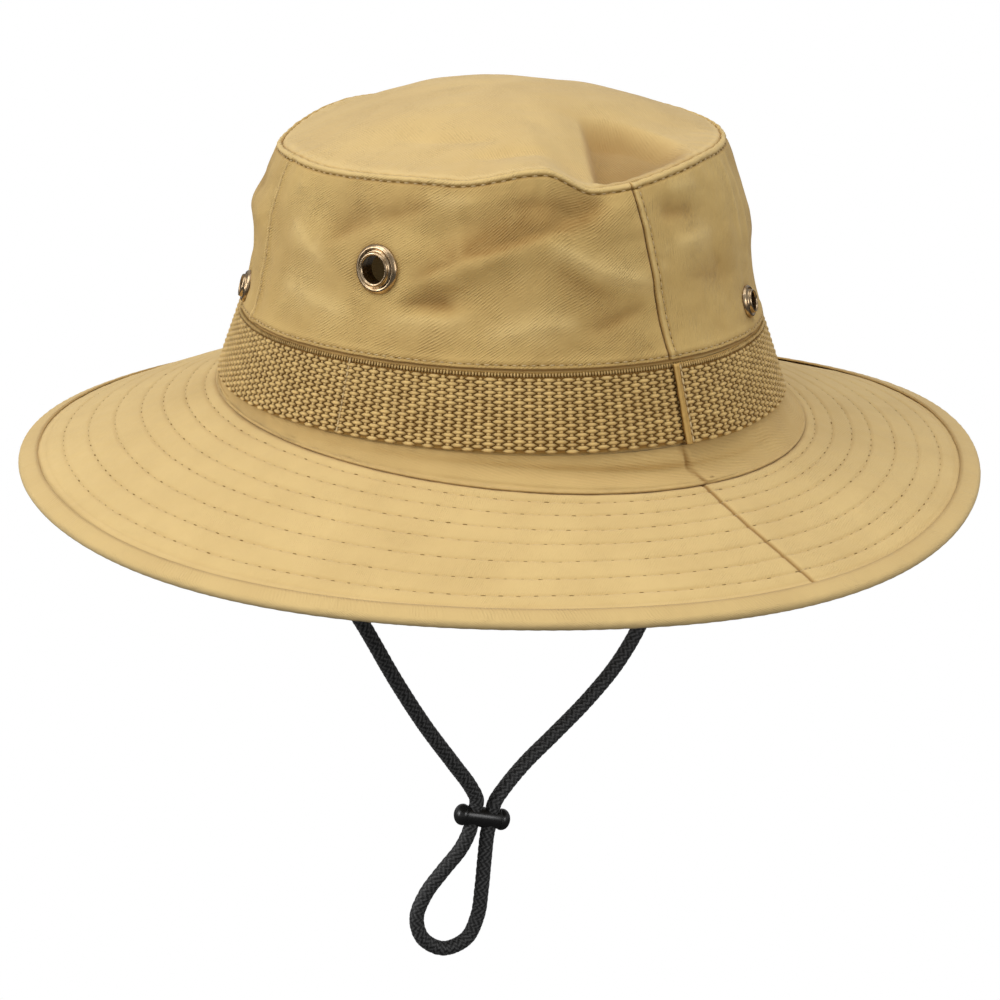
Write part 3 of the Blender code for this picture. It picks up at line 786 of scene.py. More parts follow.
class RepeatTree:
    """Geometry Nodes that lay a rounded shape at each point of a mesh, along its own directions."""

    def __init__(self) -> None:
        """Builds the tree with its named inputs."""
        tree = bpy.data.node_groups.new("lay small shapes", "GeometryNodeTree")
        self.tree = tree
        kinds = {"Geometry": "NodeSocketGeometry", "Material": "NodeSocketMaterial"}
        for field in fields(SmallShape):
            kinds[field.name.capitalize()] = "NodeSocketInt" if field.type == "int" else "NodeSocketFloat"
        self.sockets = {
            name: tree.interface.new_socket(name, in_out="INPUT", socket_type=kind).identifier
            for name, kind in kinds.items()
        }
        tree.interface.new_socket("Geometry", in_out="OUTPUT", socket_type="NodeSocketGeometry")
        given = tree.nodes.new("NodeGroupInput").outputs
        ball = add(
            tree, "GeometryNodeMeshUVSphere",
            {"Radius": 0.5, "Segments": given["Segments"], "Rings": given["Rings"]},
        )
        place = add(tree, "GeometryNodeInputPosition")
        marked = add(
            tree, "GeometryNodeStoreNamedAttribute",
            {"Name": "yarn", "Geometry": ball, "Value": place},
            data_type="FLOAT_VECTOR", domain="POINT",
        )
        size = add(
            tree, "ShaderNodeCombineXYZ", {"X": given["Length"], "Y": given["Width"], "Z": given["Height"]}
        )
        shape = add(tree, "GeometryNodeTransform", {"Geometry": marked, "Scale": size})
        along = add(tree, "GeometryNodeInputNamedAttribute", {"Name": "along"}, data_type="FLOAT_VECTOR")
        out = add(tree, "GeometryNodeInputNamedAttribute", {"Name": "out"}, data_type="FLOAT_VECTOR")
        lying = add(tree, "FunctionNodeAlignRotationToVector", {"Vector": along}, axis="X")
        facing = add(
            tree, "FunctionNodeAlignRotationToVector",
            {"Rotation": lying, "Vector": out},
            axis="Z", pivot_axis="X",
        )
        less = add(tree, "ShaderNodeMath", {0: 1.0, 1: given["Uneven"]}, operation="SUBTRACT")
        more = add(tree, "ShaderNodeMath", {0: 1.0, 1: given["Uneven"]}, operation="ADD")
        scale = add(
            tree, "FunctionNodeRandomValue",
            {2: less, 3: more, "Seed": given["Seed"]},
            data_type="FLOAT",
        )
        laid = add(
            tree, "GeometryNodeInstanceOnPoints",
            {"Points": given["Geometry"], "Instance": shape, "Rotation": facing, "Scale": scale.outputs[1]},
        )
        tone = add(
            tree, "FunctionNodeRandomValue", {2: 0.0, 3: 1.0, "Seed": given["Seed"]}, data_type="FLOAT"
        )
        toned = add(
            tree, "GeometryNodeStoreNamedAttribute",
            {"Name": "tone", "Geometry": laid, "Value": tone.outputs[1]},
            data_type="FLOAT", domain="INSTANCE",
        )
        real = add(tree, "GeometryNodeRealizeInstances", {"Geometry": toned})
        smooth = add(tree, "GeometryNodeSetShadeSmooth", {"Geometry": real})
        dressed = add(tree, "GeometryNodeSetMaterial", {"Geometry": smooth, "Material": given["Material"]})
        result = tree.nodes.new("NodeGroupOutput")
        tree.links.new(dressed.outputs["Geometry"], result.inputs["Geometry"])

    def lay(self, name: str, places: Places, shape: SmallShape, material: Finish) -> Piece:
        """Lays the shape at every place and makes a plain mesh of it.

        Args:
            name: the piece's name.
            places: where the shapes go.
            shape: what is repeated.
            material: its finish.

        Returns:
            The finished piece.
        """
        mesh = bpy.data.meshes.new(name + "_places")
        mesh.from_pydata([tuple(p) for p in places.points], [], [])
        for attribute, values in (("along", places.along), ("out", places.out)):
            layer = mesh.attributes.new(attribute, "FLOAT_VECTOR", "POINT")
            layer.data.foreach_set("vector", values.astype(np.float32).ravel())
        carrier = placed(name + "_places", mesh)
        nodes = carrier.modifiers.new("lay", "NODES")
        nodes.node_group = self.tree
        for field, value in (*asdict(shape).items(), ("material", material)):
            nodes[self.sockets[field.capitalize()]] = value
        return plain_copy(carrier, name)


def plain_copy(made: Piece, name: str) -> Piece:
    """Turns an object with live modifiers into a plain mesh object.

    Args:
        made: the object, which is removed.
        name: the name of the new object.

    Returns:
        The plain object at the origin.
    """
    bpy.context.view_layer.update()
    graph = bpy.context.evaluated_depsgraph_get()
    evaluated = made.evaluated_get(graph)
    mesh = bpy.data.meshes.new_from_object(evaluated, preserve_all_data_layers=True, depsgraph=graph)
    mesh.name = name
    bpy.data.objects.remove(made)
    return placed(name, mesh)


def dressed_mesh(
    name: str, vertices: list, faces: list, flat: Array, wear_and_painted_light: Array, material: Finish,
    after: Array | None = None, around: float = 0.0,
) -> Piece:
    """Makes an object from points and faces, with a flat layout and the wear and painted light that its
    finish reads.

    Args:
        name: the piece's name.
        vertices: its points.
        faces: its faces, each a list of points by number.
        flat: each point laid flat, in metres.
        wear_and_painted_light: worn (+) places, and places where shade is painted (-), from -1 to 1, one
            for each point; on the cord, the strands' heights, where glints are painted.
        material: its finish.
        after: the column that follows each four-sided face, where the rows close round.
        around: how long a whole turn is when laid flat. The layout of the last column is carried on by
            as much, past the whole turn, where it meets the first column.

    Returns:
        The object.
    """
    mesh = bpy.data.meshes.new(name)
    mesh.from_pydata(vertices, [], faces)
    layer = mesh.uv_layers.new(name="cloth")
    order = np.empty(len(mesh.loops), np.int32)
    mesh.loops.foreach_get("vertex_index", order)
    layout = flat.astype(np.float32)[order]
    if after is not None:
        closing = np.repeat(after.ravel() == 0, 4) & np.tile([False, True, True, False], after.size)
        layout[: len(closing)][closing, 0] += around
    layer.data.foreach_set("uv", layout.ravel())
    mesh.attributes.new("wear_and_painted_light", "FLOAT", "POINT").data.foreach_set("value", wear_and_painted_light.astype(np.float32))
    mesh.materials.append(material)
    mesh.shade_smooth()
    return placed(name, mesh)


def sheet_mesh(
    name: str, points: Array, flat: Array, wear_and_painted_light: Array, material: Finish, thickness: float,
    closed_round: bool = True, around: float = 0.0, pole: Array | None = None, kept: Array | None = None,
) -> Piece:
    """Makes a shell of cloth from rows of points that go round the hat.

    Args:
        name: the piece's name.
        points: rows by columns of points on the outside.
        flat: the same points laid flat, in metres, for the weave.
        wear_and_painted_light: worn (+) places, and places where shade is painted (-), from -1 to 1.
        material: the cloth.
        thickness: of the shell, inwards.
        closed_round: whether the last column joins the first.
        around: how long a whole turn is when laid flat, or 0 where the flat layout closes by itself.
        pole: a single point that closes the last row.
        kept: which faces are kept, rows by columns.

    Returns:
        The finished piece.
    """
    rows, columns = points.shape[:2]
    turns = np.arange(columns if closed_round else columns - 1)
    row, column = np.meshgrid(np.arange(rows - 1) * columns, turns, indexing="ij")
    after = (column + 1) % columns
    faces = np.stack([row + column, row + after, row + columns + after, row + columns + column], -1)
    if kept is not None:
        faces = faces[kept]
    faces = faces.reshape(-1, 4).tolist()
    vertices, flat, wear_and_painted_light = points.reshape(-1, 3).tolist(), flat.reshape(-1, 2), wear_and_painted_light.ravel()
    if pole is not None:
        last = (rows - 1) * columns
        vertices.append(pole.tolist())
        flat, wear_and_painted_light = np.append(flat, [[0.0, 0.0]], axis=0), np.append(wear_and_painted_light, 0.0)
        faces += [[last + c, last + (c + 1) % columns, rows * columns] for c in range(columns)]
    closing = after if closed_round else None
    made = dressed_mesh(name, vertices, faces, flat, wear_and_painted_light, material, closing, around)
    if kept is not None:
        drop_loose(made.data)
    shell = made.modifiers.new("shell", "SOLIDIFY")
    shell.thickness = thickness
    shell.offset = -1.0
    shell.use_even_offset = False
    return plain_copy(made, name)


def drop_loose(mesh: bpy.types.Mesh) -> None:
    """Removes points that no face uses.

    Args:
        mesh: The mesh.
    """
    work = bmesh.new()
    work.from_mesh(mesh)
    bmesh.ops.delete(work, geom=[v for v in work.verts if not v.link_faces], context="VERTS")
    work.to_mesh(mesh)
    work.free()


def spread(start: float, end: float, fine: float, coarse: float, margin: float) -> Array:
    """Places from start to end, fine near both ends and coarse between.

    Args:
        start: the first place.
        end: the last place.
        fine: the spacing near the ends.
        coarse: the spacing between.
        margin: how far the fine spacing reaches in.

    Returns:
        The places, rising.
    """
    first = np.arange(start, start + margin, fine)
    last = end - (first - start)[::-1]
    count = max(int((last[0] - first[-1]) / coarse), 2)
    return np.concatenate([first, np.linspace(first[-1], last[0], count + 1)[1:-1], last])


class Cloth(Enum):
    """The cuts of khaki cloth, each with its own ribs."""

    WALL = "khaki twill"
    SIDE = "khaki twill on the right panel"
    TIP = "khaki twill on the tip"
    BRIM = "khaki brim cotton"
    BINDING = "khaki binding"
    STRIP = "khaki twill on the base strip"


@dataclass(frozen=True)
class CottonTwill:
    """Washed cotton twill: fine slanting ribs, faintly mottled, paler where it rubs, with shade painted
    darker in its rib hollows and where the piece marks shade.
    """

    cut: Cloth
    colour: str = "#D6B87C"
    # shade is the colour of the cloth's mottle, and also of the shade painted into rib hollows, creases,
    # seams and grooves.
    shade: str = "#A07C46"
    worn: str = "#E8CE9A"
    rib_pitch: float = 0.82 * MM
    rib_slant: float = 34.0
    rib_height: float = 0.14 * MM
    rib_shade: float = 0.34
    rib_wander: float = 44.0
    mottle: float = 0.3
    crinkle: float = 0.5 * MM

    def material(self) -> Finish:
        """Builds the cloth from the piece's flat layout, which is in metres.

        Returns:
            The finish.
        """
        made, tree, shader = blank_finish(self.cut.value)
        flat = add(tree, "ShaderNodeUVMap", uv_map="cloth").outputs["UV"]
        # Ribs wander by two or three ribs over a few centimetres, as washed twill does.
        wander = add(tree, "ShaderNodeTexNoise", {"Scale": 32.0, "Detail": 1.0, "Vector": flat})
        blotch = add(
            tree, "ShaderNodeTexNoise", {"Scale": 28.0, "Detail": 5.0, "Roughness": 0.6, "Vector": flat}
        )
        # The ribs stand out in patches a centimetre or two across, where the cloth was rubbed or pressed.
        patch = add(tree, "ShaderNodeTexNoise", {"Scale": 75.0, "Detail": 2.0, "Vector": flat})
        slant = math.radians(self.rib_slant)
        turns = TURN / self.rib_pitch
        across = add(
            tree, "ShaderNodeVectorMath",
            {1: (-math.sin(slant) * turns, math.cos(slant) * turns, 0.0), 0: flat},
            operation="DOT_PRODUCT",
        )
        bent = add(
            tree, "ShaderNodeMath",
            {1: self.rib_wander, 0: wander, 2: across.outputs["Value"]},
            operation="MULTIPLY_ADD",
        )
        rib = add(tree, "ShaderNodeMath", {0: bent}, operation="SINE")
        # Yarns thicken and thin along each rib every 2 to 4 mm.
        turned = add(
            tree, "ShaderNodeVectorRotate", {"Angle": -slant, "Vector": flat}, rotation_type="Z_AXIS"
        )
        drawn = add(
            tree, "ShaderNodeVectorMath",
            {1: (500.0, 1500.0, 1.0), 0: turned},
            operation="MULTIPLY",
        )
        slub = add(tree, "ShaderNodeTexNoise", {"Scale": 1.0, "Detail": 2.0, "Vector": drawn})
        strong = add(tree, "ShaderNodeMapRange", {1: 0.36, 2: 0.64, 3: 0.15, 4: 1.35, 0: patch})
        uneven = add(tree, "ShaderNodeMapRange", {1: 0.36, 2: 0.64, 3: 0.0, 4: 1.4, 0: slub})
        factor = add(tree, "ShaderNodeMath", {0: strong, 1: uneven}, operation="MULTIPLY")
        ribbed = add(tree, "ShaderNodeMath", {0: rib, 1: factor}, operation="MULTIPLY")
        height = add(tree, "ShaderNodeMath", {1: 0.5, 0: ribbed, 2: slub}, operation="MULTIPLY_ADD")
        # Washing leaves soft crinkles 5 to 10 mm across.
        washed = add(tree, "ShaderNodeTexNoise", {"Scale": 130.0, "Detail": 2.0, "Vector": flat})
        soft = add(tree, "ShaderNodeBump", {"Strength": 1.0, "Distance": self.crinkle, "Height": washed})
        bump = add(
            tree, "ShaderNodeBump",
            {"Strength": 1.0, "Distance": self.rib_height, "Height": height, "Normal": soft},
        )
        # Painted shade: the colour darkens in the hollows between the ribs.
        hollow = add(tree, "ShaderNodeMapRange", {1: 1.2, 2: -1.2, 3: -0.08, 4: self.rib_shade, 0: ribbed})
        mottle = add(tree, "ShaderNodeMapRange", {1: 0.35, 2: 0.7, 3: 0.0, 4: self.mottle, 0: blotch})
        dark = add(tree, "ShaderNodeMath", {0: hollow, 1: mottle}, operation="ADD")
        wear_and_painted_light = add(tree, "ShaderNodeAttribute", attribute_name="wear_and_painted_light").outputs["Fac"]
        # Where the piece's attribute is below 0, the colour is painted darker as shade; above 0 it turns
        # paler where the cloth is worn.
        shaded = add(
            tree, "ShaderNodeMath",
            {1: -1.0, 0: wear_and_painted_light, 2: dark},
            operation="MULTIPLY_ADD", use_clamp=True,
        )
        base = add(
            tree, "ShaderNodeMix",
            {6: linear(self.colour), 7: linear(self.shade), 0: shaded},
            data_type="RGBA",
        )
        rubbed = add(tree, "ShaderNodeMath", {1: 0.6, 0: wear_and_painted_light}, operation="MULTIPLY", use_clamp=True)
        colour = add(
            tree, "ShaderNodeMix",
            {7: linear(self.worn), 0: rubbed, 6: base.outputs[2]},
            data_type="RGBA",
        )
        feed(shader, {
            "Base Color": colour.outputs[2], "Normal": bump, "Roughness": 0.88, "Specular IOR Level": 0.25,
            "Sheen Weight": 0.12, "Sheen Roughness": 0.5,
        })
        return made


class Yarn(Enum):
    """The yarns and threads, each with its colours, and the shade painted in needle holes."""

    WEBBING = "khaki webbing yarn"
    THREAD = "khaki sewing thread"
    NEEDLE_HOLE_SHADE = "needle mark"


@dataclass(frozen=True)
class SpunYarn:
    """Spun yarn with a slight lustre, whose fibres show as fine lines along it, painted lighter on its top
    as a highlight and darker on its sides as shade.
    """

    kind: Yarn
    # light is the painted highlight on the top of each float or stitch; dark is the painted shade on its
    # sides.
    light: str
    dark: str
    fibres: float = 9.0
    roughness: float = 0.55
    lustre: float = 0.3

    def material(self) -> Finish:
        """Builds the yarn from the place on each float that the nodes stored.

        Returns:
            The finish.
        """
        made, tree, shader = blank_finish(self.kind.value)
        place = add(tree, "ShaderNodeAttribute", attribute_name="yarn").outputs["Vector"]
        tone = add(tree, "ShaderNodeAttribute", attribute_name="tone").outputs["Fac"]
        # Fibres run nearly along the yarn, with a little twist.
        phase = add(
            tree, "ShaderNodeVectorMath",
            {1: (6.0, self.fibres * TURN, 0.0), 0: place},
            operation="DOT_PRODUCT",
        )
        line = add(tree, "ShaderNodeMath", {0: phase.outputs["Value"]}, operation="SINE")
        bump = add(tree, "ShaderNodeBump", {"Strength": 0.6, "Distance": 0.06 * MM, "Height": line})
        # Painted highlight and shade: the higher a place on the float or stitch, the nearer its colour is
        # to the light one.
        raised = add(tree, "ShaderNodeSeparateXYZ", {0: place})
        lift = add(tree, "ShaderNodeMapRange", {1: 0.1, 2: 0.5, 3: 0.0, 4: 0.8, 0: raised.outputs["Z"]})
        mixed = add(tree, "ShaderNodeMath", {1: 0.2, 0: tone, 2: lift}, operation="MULTIPLY_ADD")
        fibre = add(
            tree, "ShaderNodeMath",
            {1: 0.07, 0: line, 2: mixed},
            operation="MULTIPLY_ADD", use_clamp=True,
        )
        colour = add(
            tree, "ShaderNodeMix",
            {6: linear(self.dark), 7: linear(self.light), 0: fibre},
            data_type="RGBA",
        )
        feed(shader, {
            "Base Color": colour.outputs[2], "Normal": bump, "Roughness": self.roughness,
            "Specular IOR Level": self.lustre, "Sheen Weight": 0.1,
        })
        return made


@dataclass(frozen=True)
class WebbingGround:
    """The tight ground of the webbing: painted deep in its slots as their shade, pale along its edges and
    folded end.
    """

    # deep is the shade painted between the floats; pale is the yarn's own colour.
    pale: str = "#CFA964"
    deep: str = "#84602A"

    def material(self) -> Finish:
        """Builds the ground; the piece says where it is pale and where shade is painted deep.

        Returns:
            The finish.
        """
        made, tree, shader = blank_finish("khaki webbing ground")
        wear_and_painted_light = add(tree, "ShaderNodeAttribute", attribute_name="wear_and_painted_light").outputs["Fac"]
        flat = add(tree, "ShaderNodeUVMap", uv_map="cloth").outputs["UV"]
        # Fine yarns 0.6 mm apart, crossed by a fleck of single threads.
        fleck = add(tree, "ShaderNodeTexNoise", {"Scale": 900.0, "Detail": 2.0, "Vector": flat})
        share = add(tree, "ShaderNodeMapRange", {1: -1.0, 2: 1.0, 0: wear_and_painted_light})
        flecked = add(tree, "ShaderNodeMath", {1: 0.35, 0: fleck, 2: share}, operation="MULTIPLY_ADD")
        toned = add(tree, "ShaderNodeMath", {1: 0.18, 0: flecked}, operation="SUBTRACT", use_clamp=True)
        # Painted shade: the ground goes deep where the piece marks it below 0.
        colour = add(
            tree, "ShaderNodeMix",
            {6: linear(self.deep), 7: linear(self.pale), 0: toned},
            data_type="RGBA",
        )
        bump = add(tree, "ShaderNodeBump", {"Strength": 0.8, "Distance": 0.15 * MM, "Height": fleck})
        feed(shader, {
            "Base Color": colour.outputs[2], "Normal": bump, "Roughness": 0.75, "Specular IOR Level": 0.2,
        })
        return made


@dataclass(frozen=True)
class AntiqueBrass:
    """Rolled brass eyelet with a brown patina, brighter where it is rubbed."""

    bright: str = "#D8BF9C"
    patina: str = "#80684A"
    roughness: float = 0.22

    def material(self) -> Finish:
        """Builds the metal; the patina lies in cloudy patches a few millimetres across.

        Returns:
            The finish.
        """
        made, tree, shader = blank_finish("antique brass")
        place = add(tree, "ShaderNodeTexCoord").outputs["Object"]
        cloud = add(tree, "ShaderNodeTexNoise", {"Scale": 350.0, "Detail": 4.0, "Vector": place})
        scratch = add(tree, "ShaderNodeTexNoise", {"Scale": 2600.0, "Detail": 2.0, "Vector": place})
        share = add(tree, "ShaderNodeMapRange", {1: 0.35, 2: 0.65, 3: 0.15, 4: 0.85, 0: cloud})
        colour = add(
            tree, "ShaderNodeMix",
            {6: linear(self.bright), 7: linear(self.patina), 0: share},
            data_type="RGBA",
        )
        rough = add(
            tree, "ShaderNodeMapRange",
            {1: 0.3, 2: 0.7, 3: self.roughness - 0.06, 4: self.roughness + 0.14, 0: cloud},
        )
        bump = add(tree, "ShaderNodeBump", {"Strength": 0.15, "Distance": 0.02 * MM, "Height": scratch})
        feed(shader, {"Base Color": colour.outputs[2], "Roughness": rough, "Normal": bump, "Metallic": 1.0})
        return made


@dataclass(frozen=True)
class BlackBraid:
    """Braided polyester cord: matt black, with glints painted pale along the raised strands."""

    deep: str = "#0B0B0B"
    # pale is the colour of the painted glints.
    pale: str = "#707070"
    strand: float = 0.35 * MM

    def material(self) -> Finish:
        """Builds the braid; its layout has metres along the cord and metres round it.

        Returns:
            The finish.
        """
        made, tree, shader = blank_finish("black braided polyester")
        flat = add(tree, "ShaderNodeUVMap", uv_map="cloth").outputs["UV"]
        wear_and_painted_light = add(tree, "ShaderNodeAttribute", attribute_name="wear_and_painted_light").outputs["Fac"]
        fuzz = add(tree, "ShaderNodeTexNoise", {"Scale": 1800.0, "Detail": 3.0, "Vector": flat})
        # Painted highlight: raised strands are painted toward the pale colour in fine flecks, as glints.
        lift = add(tree, "ShaderNodeMapRange", {1: 0.2, 2: 1.0, 3: 0.0, 4: 1.1, 0: wear_and_painted_light})
        share = add(tree, "ShaderNodeMath", {0: lift, 1: fuzz}, operation="MULTIPLY")
        colour = add(
            tree, "ShaderNodeMix",
            {6: linear(self.deep), 7: linear(self.pale), 0: share},
            data_type="RGBA",
        )
        bump = add(tree, "ShaderNodeBump", {"Strength": 0.5, "Distance": self.strand * 0.3, "Height": fuzz})
        feed(shader, {
            "Base Color": colour.outputs[2], "Normal": bump, "Roughness": 0.62, "Sheen Weight": 0.15,
        })
        return made


@dataclass(frozen=True)
class MouldedBlack:
    """Moulded black acetal: smooth with a soft gloss and a faint orange-peel."""

    colour: str = "#1D1D1D"

    def material(self) -> Finish:
        """Builds the plastic.

        Returns:
            The finish.
        """
        made, tree, shader = blank_finish("moulded black acetal")
        place = add(tree, "ShaderNodeTexCoord").outputs["Object"]
        peel = add(tree, "ShaderNodeTexNoise", {"Scale": 1500.0, "Detail": 2.0, "Vector": place})
        bump = add(tree, "ShaderNodeBump", {"Strength": 0.1, "Distance": 0.03 * MM, "Height": peel})
        rough = add(tree, "ShaderNodeMapRange", {3: 0.22, 4: 0.36, 0: peel})
        feed(shader, {"Normal": bump, "Roughness": rough, "Base Color": linear(self.colour)})
        return made


@dataclass(frozen=True)
class BlackTape:
    """Woven black tape: matt, with a fine ribbed weave."""

    colour: str = "#1C1A19"
    rib_pitch: float = 0.8 * MM

    def material(self) -> Finish:
        """Builds the tape on its place in the hat, as the solid has no layout.

        Returns:
            The finish.
        """
        made, tree, shader = blank_finish("black cotton tape")
        place = add(tree, "ShaderNodeTexCoord").outputs["Object"]
        turns = TURN / self.rib_pitch
        phase = add(
            tree, "ShaderNodeVectorMath", {1: (0.0, turns * 0.4, turns), 0: place}, operation="DOT_PRODUCT"
        )
        rib = add(tree, "ShaderNodeMath", {0: phase.outputs["Value"]}, operation="SINE")
        bump = add(tree, "ShaderNodeBump", {"Strength": 0.8, "Distance": 0.1 * MM, "Height": rib})
        feed(shader, {"Normal": bump, "Base Color": linear(self.colour), "Roughness": 0.9})
        return made


@dataclass(frozen=True)
class Crown:
    """The crown: three wall panels, the tip, and the base strip under the band."""

    form: HatForm
    lap: float = 0.45 * MM
    lap_width: float = 3.4 * MM
    seam_stitch: float = 2.6 * MM
    top_stitch: float = 2.1 * MM
    hem_stitch: float = 1.3 * MM
    shell: float = 1.2 * MM
    fine: float = 0.33 * MM
    coarse: float = 1.05 * MM
    mean_inset: float = 14 * MM
    tip_inset: float = 19.5 * MM
    tip_reach: float = 1.5 * MM
    tip_columns: int = 340
    base_columns: int = 440
    row_steps: int = 900

    def seam_distance(self, seam: Seam, azimuth: Array, share: Array) -> Array:
        """How far round the wall a place is from a seam, positive on the lapped side.

        Args:
            seam: The seam.
            azimuth: Where round the hat.
            share: How far along, from 0 to 1.

        Returns:
            The distances.
        """
        half_width = self.form.crown_width / 2 - self.mean_inset
        half_length = self.form.crown_length / 2 - self.mean_inset
        speed = np.hypot(half_width * np.cos(azimuth), half_length * np.sin(azimuth))
        return wrapped(azimuth - seam.azimuth(share)) * speed * seam.lap_side

    def wall_relief(self, azimuth: Array, share: Array, plain: Array) -> tuple[Array, Array]:
        """Fine relief of the wall: seams, stitched edges, puckers and unevenness.

        Args:
            azimuth: where round the hat.
            share: how far up the wall.
            plain: the same places on the plain wall.

        Returns:
            How far each place stands out, and how worn it is or how much shade is painted on it.
        """
        below = (1 - share) * self.form.wall_height
        above = share * self.form.wall_height
        relief = np.zeros_like(share)
        wear_and_painted_light = np.zeros_like(share)
        wobble = Ripples(21, 14 * MM, 30 * MM).at(plain)
        for seam in SEAMS.values():
            reach = self.seam_distance(seam, azimuth, share)
            relief += self.lap * lap(reach, self.lap_width) - 0.7 * MM * bell(reach, 0.38 * MM)
            relief -= 0.2 * MM * bell(reach - self.seam_stitch, 0.45 * MM)
            tucks = np.sin(TURN * above / (8.5 * MM) + 3 * wobble)
            off = np.abs(reach)
            relief += 0.16 * MM * tucks * np.exp(-off / (5 * MM)) * ease(off / (0.8 * MM))
            # Paler on the lap's ridge, which is wear; painted shade in the seam's groove and along its
            # stitching.
            wear_and_painted_light += 0.3 * bell(reach - 0.9 * MM, 0.5 * MM) - 0.6 * bell(reach, 0.35 * MM)
            wear_and_painted_light -= 0.2 * bell(reach - self.seam_stitch, 0.45 * MM)
        radius = self.form.mean_radius
        relief += 0.55 * MM * bell(below - 0.7 * MM, 0.85 * MM)
        relief -= 0.5 * MM * bell(below - self.top_stitch, 0.45 * MM)
        relief += 0.2 * MM * puckers(azimuth, radius, 6.8 * MM, 4 * wobble) * np.exp(-below / (4.5 * MM))
        relief -= 0.5 * MM * turned_edge(below, 0.5 * MM)
        # Paler on the rolled top edge, which is wear; painted shade along the top stitching.
        wear_and_painted_light += 0.45 * bell(below - 0.7 * MM, 0.7 * MM) - 0.5 * bell(below - self.top_stitch, 0.45 * MM)
        relief += 0.3 * MM * (1 - ease((above - 2.6 * MM) / (1.2 * MM)))
        relief -= 0.2 * MM * bell(above - self.hem_stitch, 0.4 * MM)
        relief += 0.1 * MM * puckers(azimuth, radius, 9.5 * MM, 4 * wobble) * np.exp(-above / (5 * MM))
        relief -= 0.6 * MM * turned_edge(above, 0.6 * MM)
        # Painted shade along the hem stitching.
        wear_and_painted_light -= 0.25 * bell(above - self.hem_stitch, 0.5 * MM)
        calm = self.form.calm(azimuth, share)
        edges = ease(below / (6 * MM)) * ease(above / (6 * MM))
        relief += 0.45 * MM * Ripples(3, 16 * MM, 42 * MM).at(plain) * calm * edges
        relief += 0.14 * MM * Ripples(4, 6 * MM, 13 * MM, 14).at(plain) * calm
        folded = self.creases(azimuth, share) * calm * ease(below / (4 * MM)) * ease(above / (4 * MM))
        relief += folded
        # Painted shade in the hollows of the creases; their tops turn paler, as wear.
        wear_and_painted_light += np.clip(folded / (2.6 * MM), -0.6, 0.25)
        for vent in VENTS:
            across = wrapped(azimuth - math.radians(vent.degrees)) * self.form.mean_radius
            up = (share - vent.share) * self.form.wall_height
            reach = np.hypot(across, up)
            ring = bell(reach - 11.5 * MM * vent.size, 3.2 * MM)
            relief += 0.22 * MM * np.cos(5 * np.arctan2(up, across) + vent.degrees) * ring
            relief -= 0.15 * MM * bell(reach, 9 * MM * vent.size)
            # Painted shade in a ring round each eyelet's flange.
            wear_and_painted_light -= 0.3 * bell(reach - 8.4 * MM * vent.size, 0.9 * MM)
        return relief, wear_and_painted_light

    def creases(self, azimuth: Array, share: Array) -> Array:
        """How far the creases stand out, the drawn ones and many faint short ones.

        Args:
            azimuth: Where round the hat.
            share: How far along, from 0 to 1.

        Returns:
            The heights.
        """
        relief = np.zeros_like(share)
        tall = self.form.wall_height
        random = np.random.default_rng(31)
        rows = list(CREASES)
        for _ in range(90):
            turn, up = random.uniform(-180, 180), random.uniform(0.08, 0.9)
            lean, reach = random.normal(28, 30), random.uniform(3, 9)
            across, rise = reach * math.cos(math.radians(lean)), reach * math.sin(math.radians(lean))
            size = random.uniform(1.2, 2.6)
            to = (turn + across * 0.6, up + rise * MM / tall)
            rows.append((turn, up, *to, size, size, random.uniform(-0.34, 0.34)))
        for *ends, left, right, height in rows:
            across, first, last = self.form.laid_flat(azimuth, ends)
            reach = abs(last[0] - first[0]) / 2 + 7 * max(left, right) * MM
            near = np.abs(across - (first[0] + last[0]) / 2) < reach
            flat = (across[near], share[near] * tall)
            relief[near] += height * MM * crease(*flat, first, last, left * MM, right * MM)
        return relief

    def wall(self, azimuth: Array, share: Array) -> Array:
        """Points of the finished wall.

        Args:
            azimuth: Where round the hat.
            share: How far along, from 0 to 1.

        Returns:
            The points.
        """
        plain = self.form.wall(azimuth, share)
        relief, _ = self.wall_relief(azimuth, share, plain)
        return plain + unit(plain * LEVEL) * relief[..., None]

    def panel(self, name: str, left: Seam, right: Seam, material: Finish) -> Piece:
        """One wall panel between two seams, with its eyelet holes left open.

        Args:
            name: The piece's name.
            left: The seam at its start.
            right: The seam at its end.
            material: Its finish.

        Returns:
            The panel.
        """
        start = math.radians(left.hem_degrees)
        width = (math.radians(right.hem_degrees) - start) % TURN
        start_top = math.radians(left.top_degrees)
        width_top = (math.radians(right.top_degrees) - start_top) % TURN
        length = width * self.form.mean_radius
        tall = self.form.wall_height
        across = spread(0.0, length, self.fine, self.coarse, 4.2 * MM) / length
        upward = spread(0.0, tall, self.fine, self.coarse, 3.6 * MM) / tall
        share, column = np.meshgrid(upward, across, indexing="ij")
        azimuth = start + (start_top - start) * share + (width + (width_top - width) * share) * column
        points = self.wall(azimuth, share)
        _, wear_and_painted_light = self.wall_relief(azimuth, share, self.form.wall(azimuth, share))
        flat = np.stack([azimuth * self.form.mean_radius, share * tall], -1)
        kept = np.ones((len(upward) - 1, len(across) - 1), bool)
        middle_turn = wrapped(azimuth[:-1, :-1] / 2 + azimuth[1:, 1:] / 2)
        middle_share = share[:-1, :-1] / 2 + share[1:, 1:] / 2
        for vent in VENTS:
            aside = wrapped(middle_turn - math.radians(vent.degrees)) * self.form.mean_radius
            kept &= np.hypot(aside, (middle_share - vent.share) * tall) > 5.8 * MM * vent.size
        return sheet_mesh(name, points, flat, wear_and_painted_light, material, self.shell, closed_round=False, kept=kept)

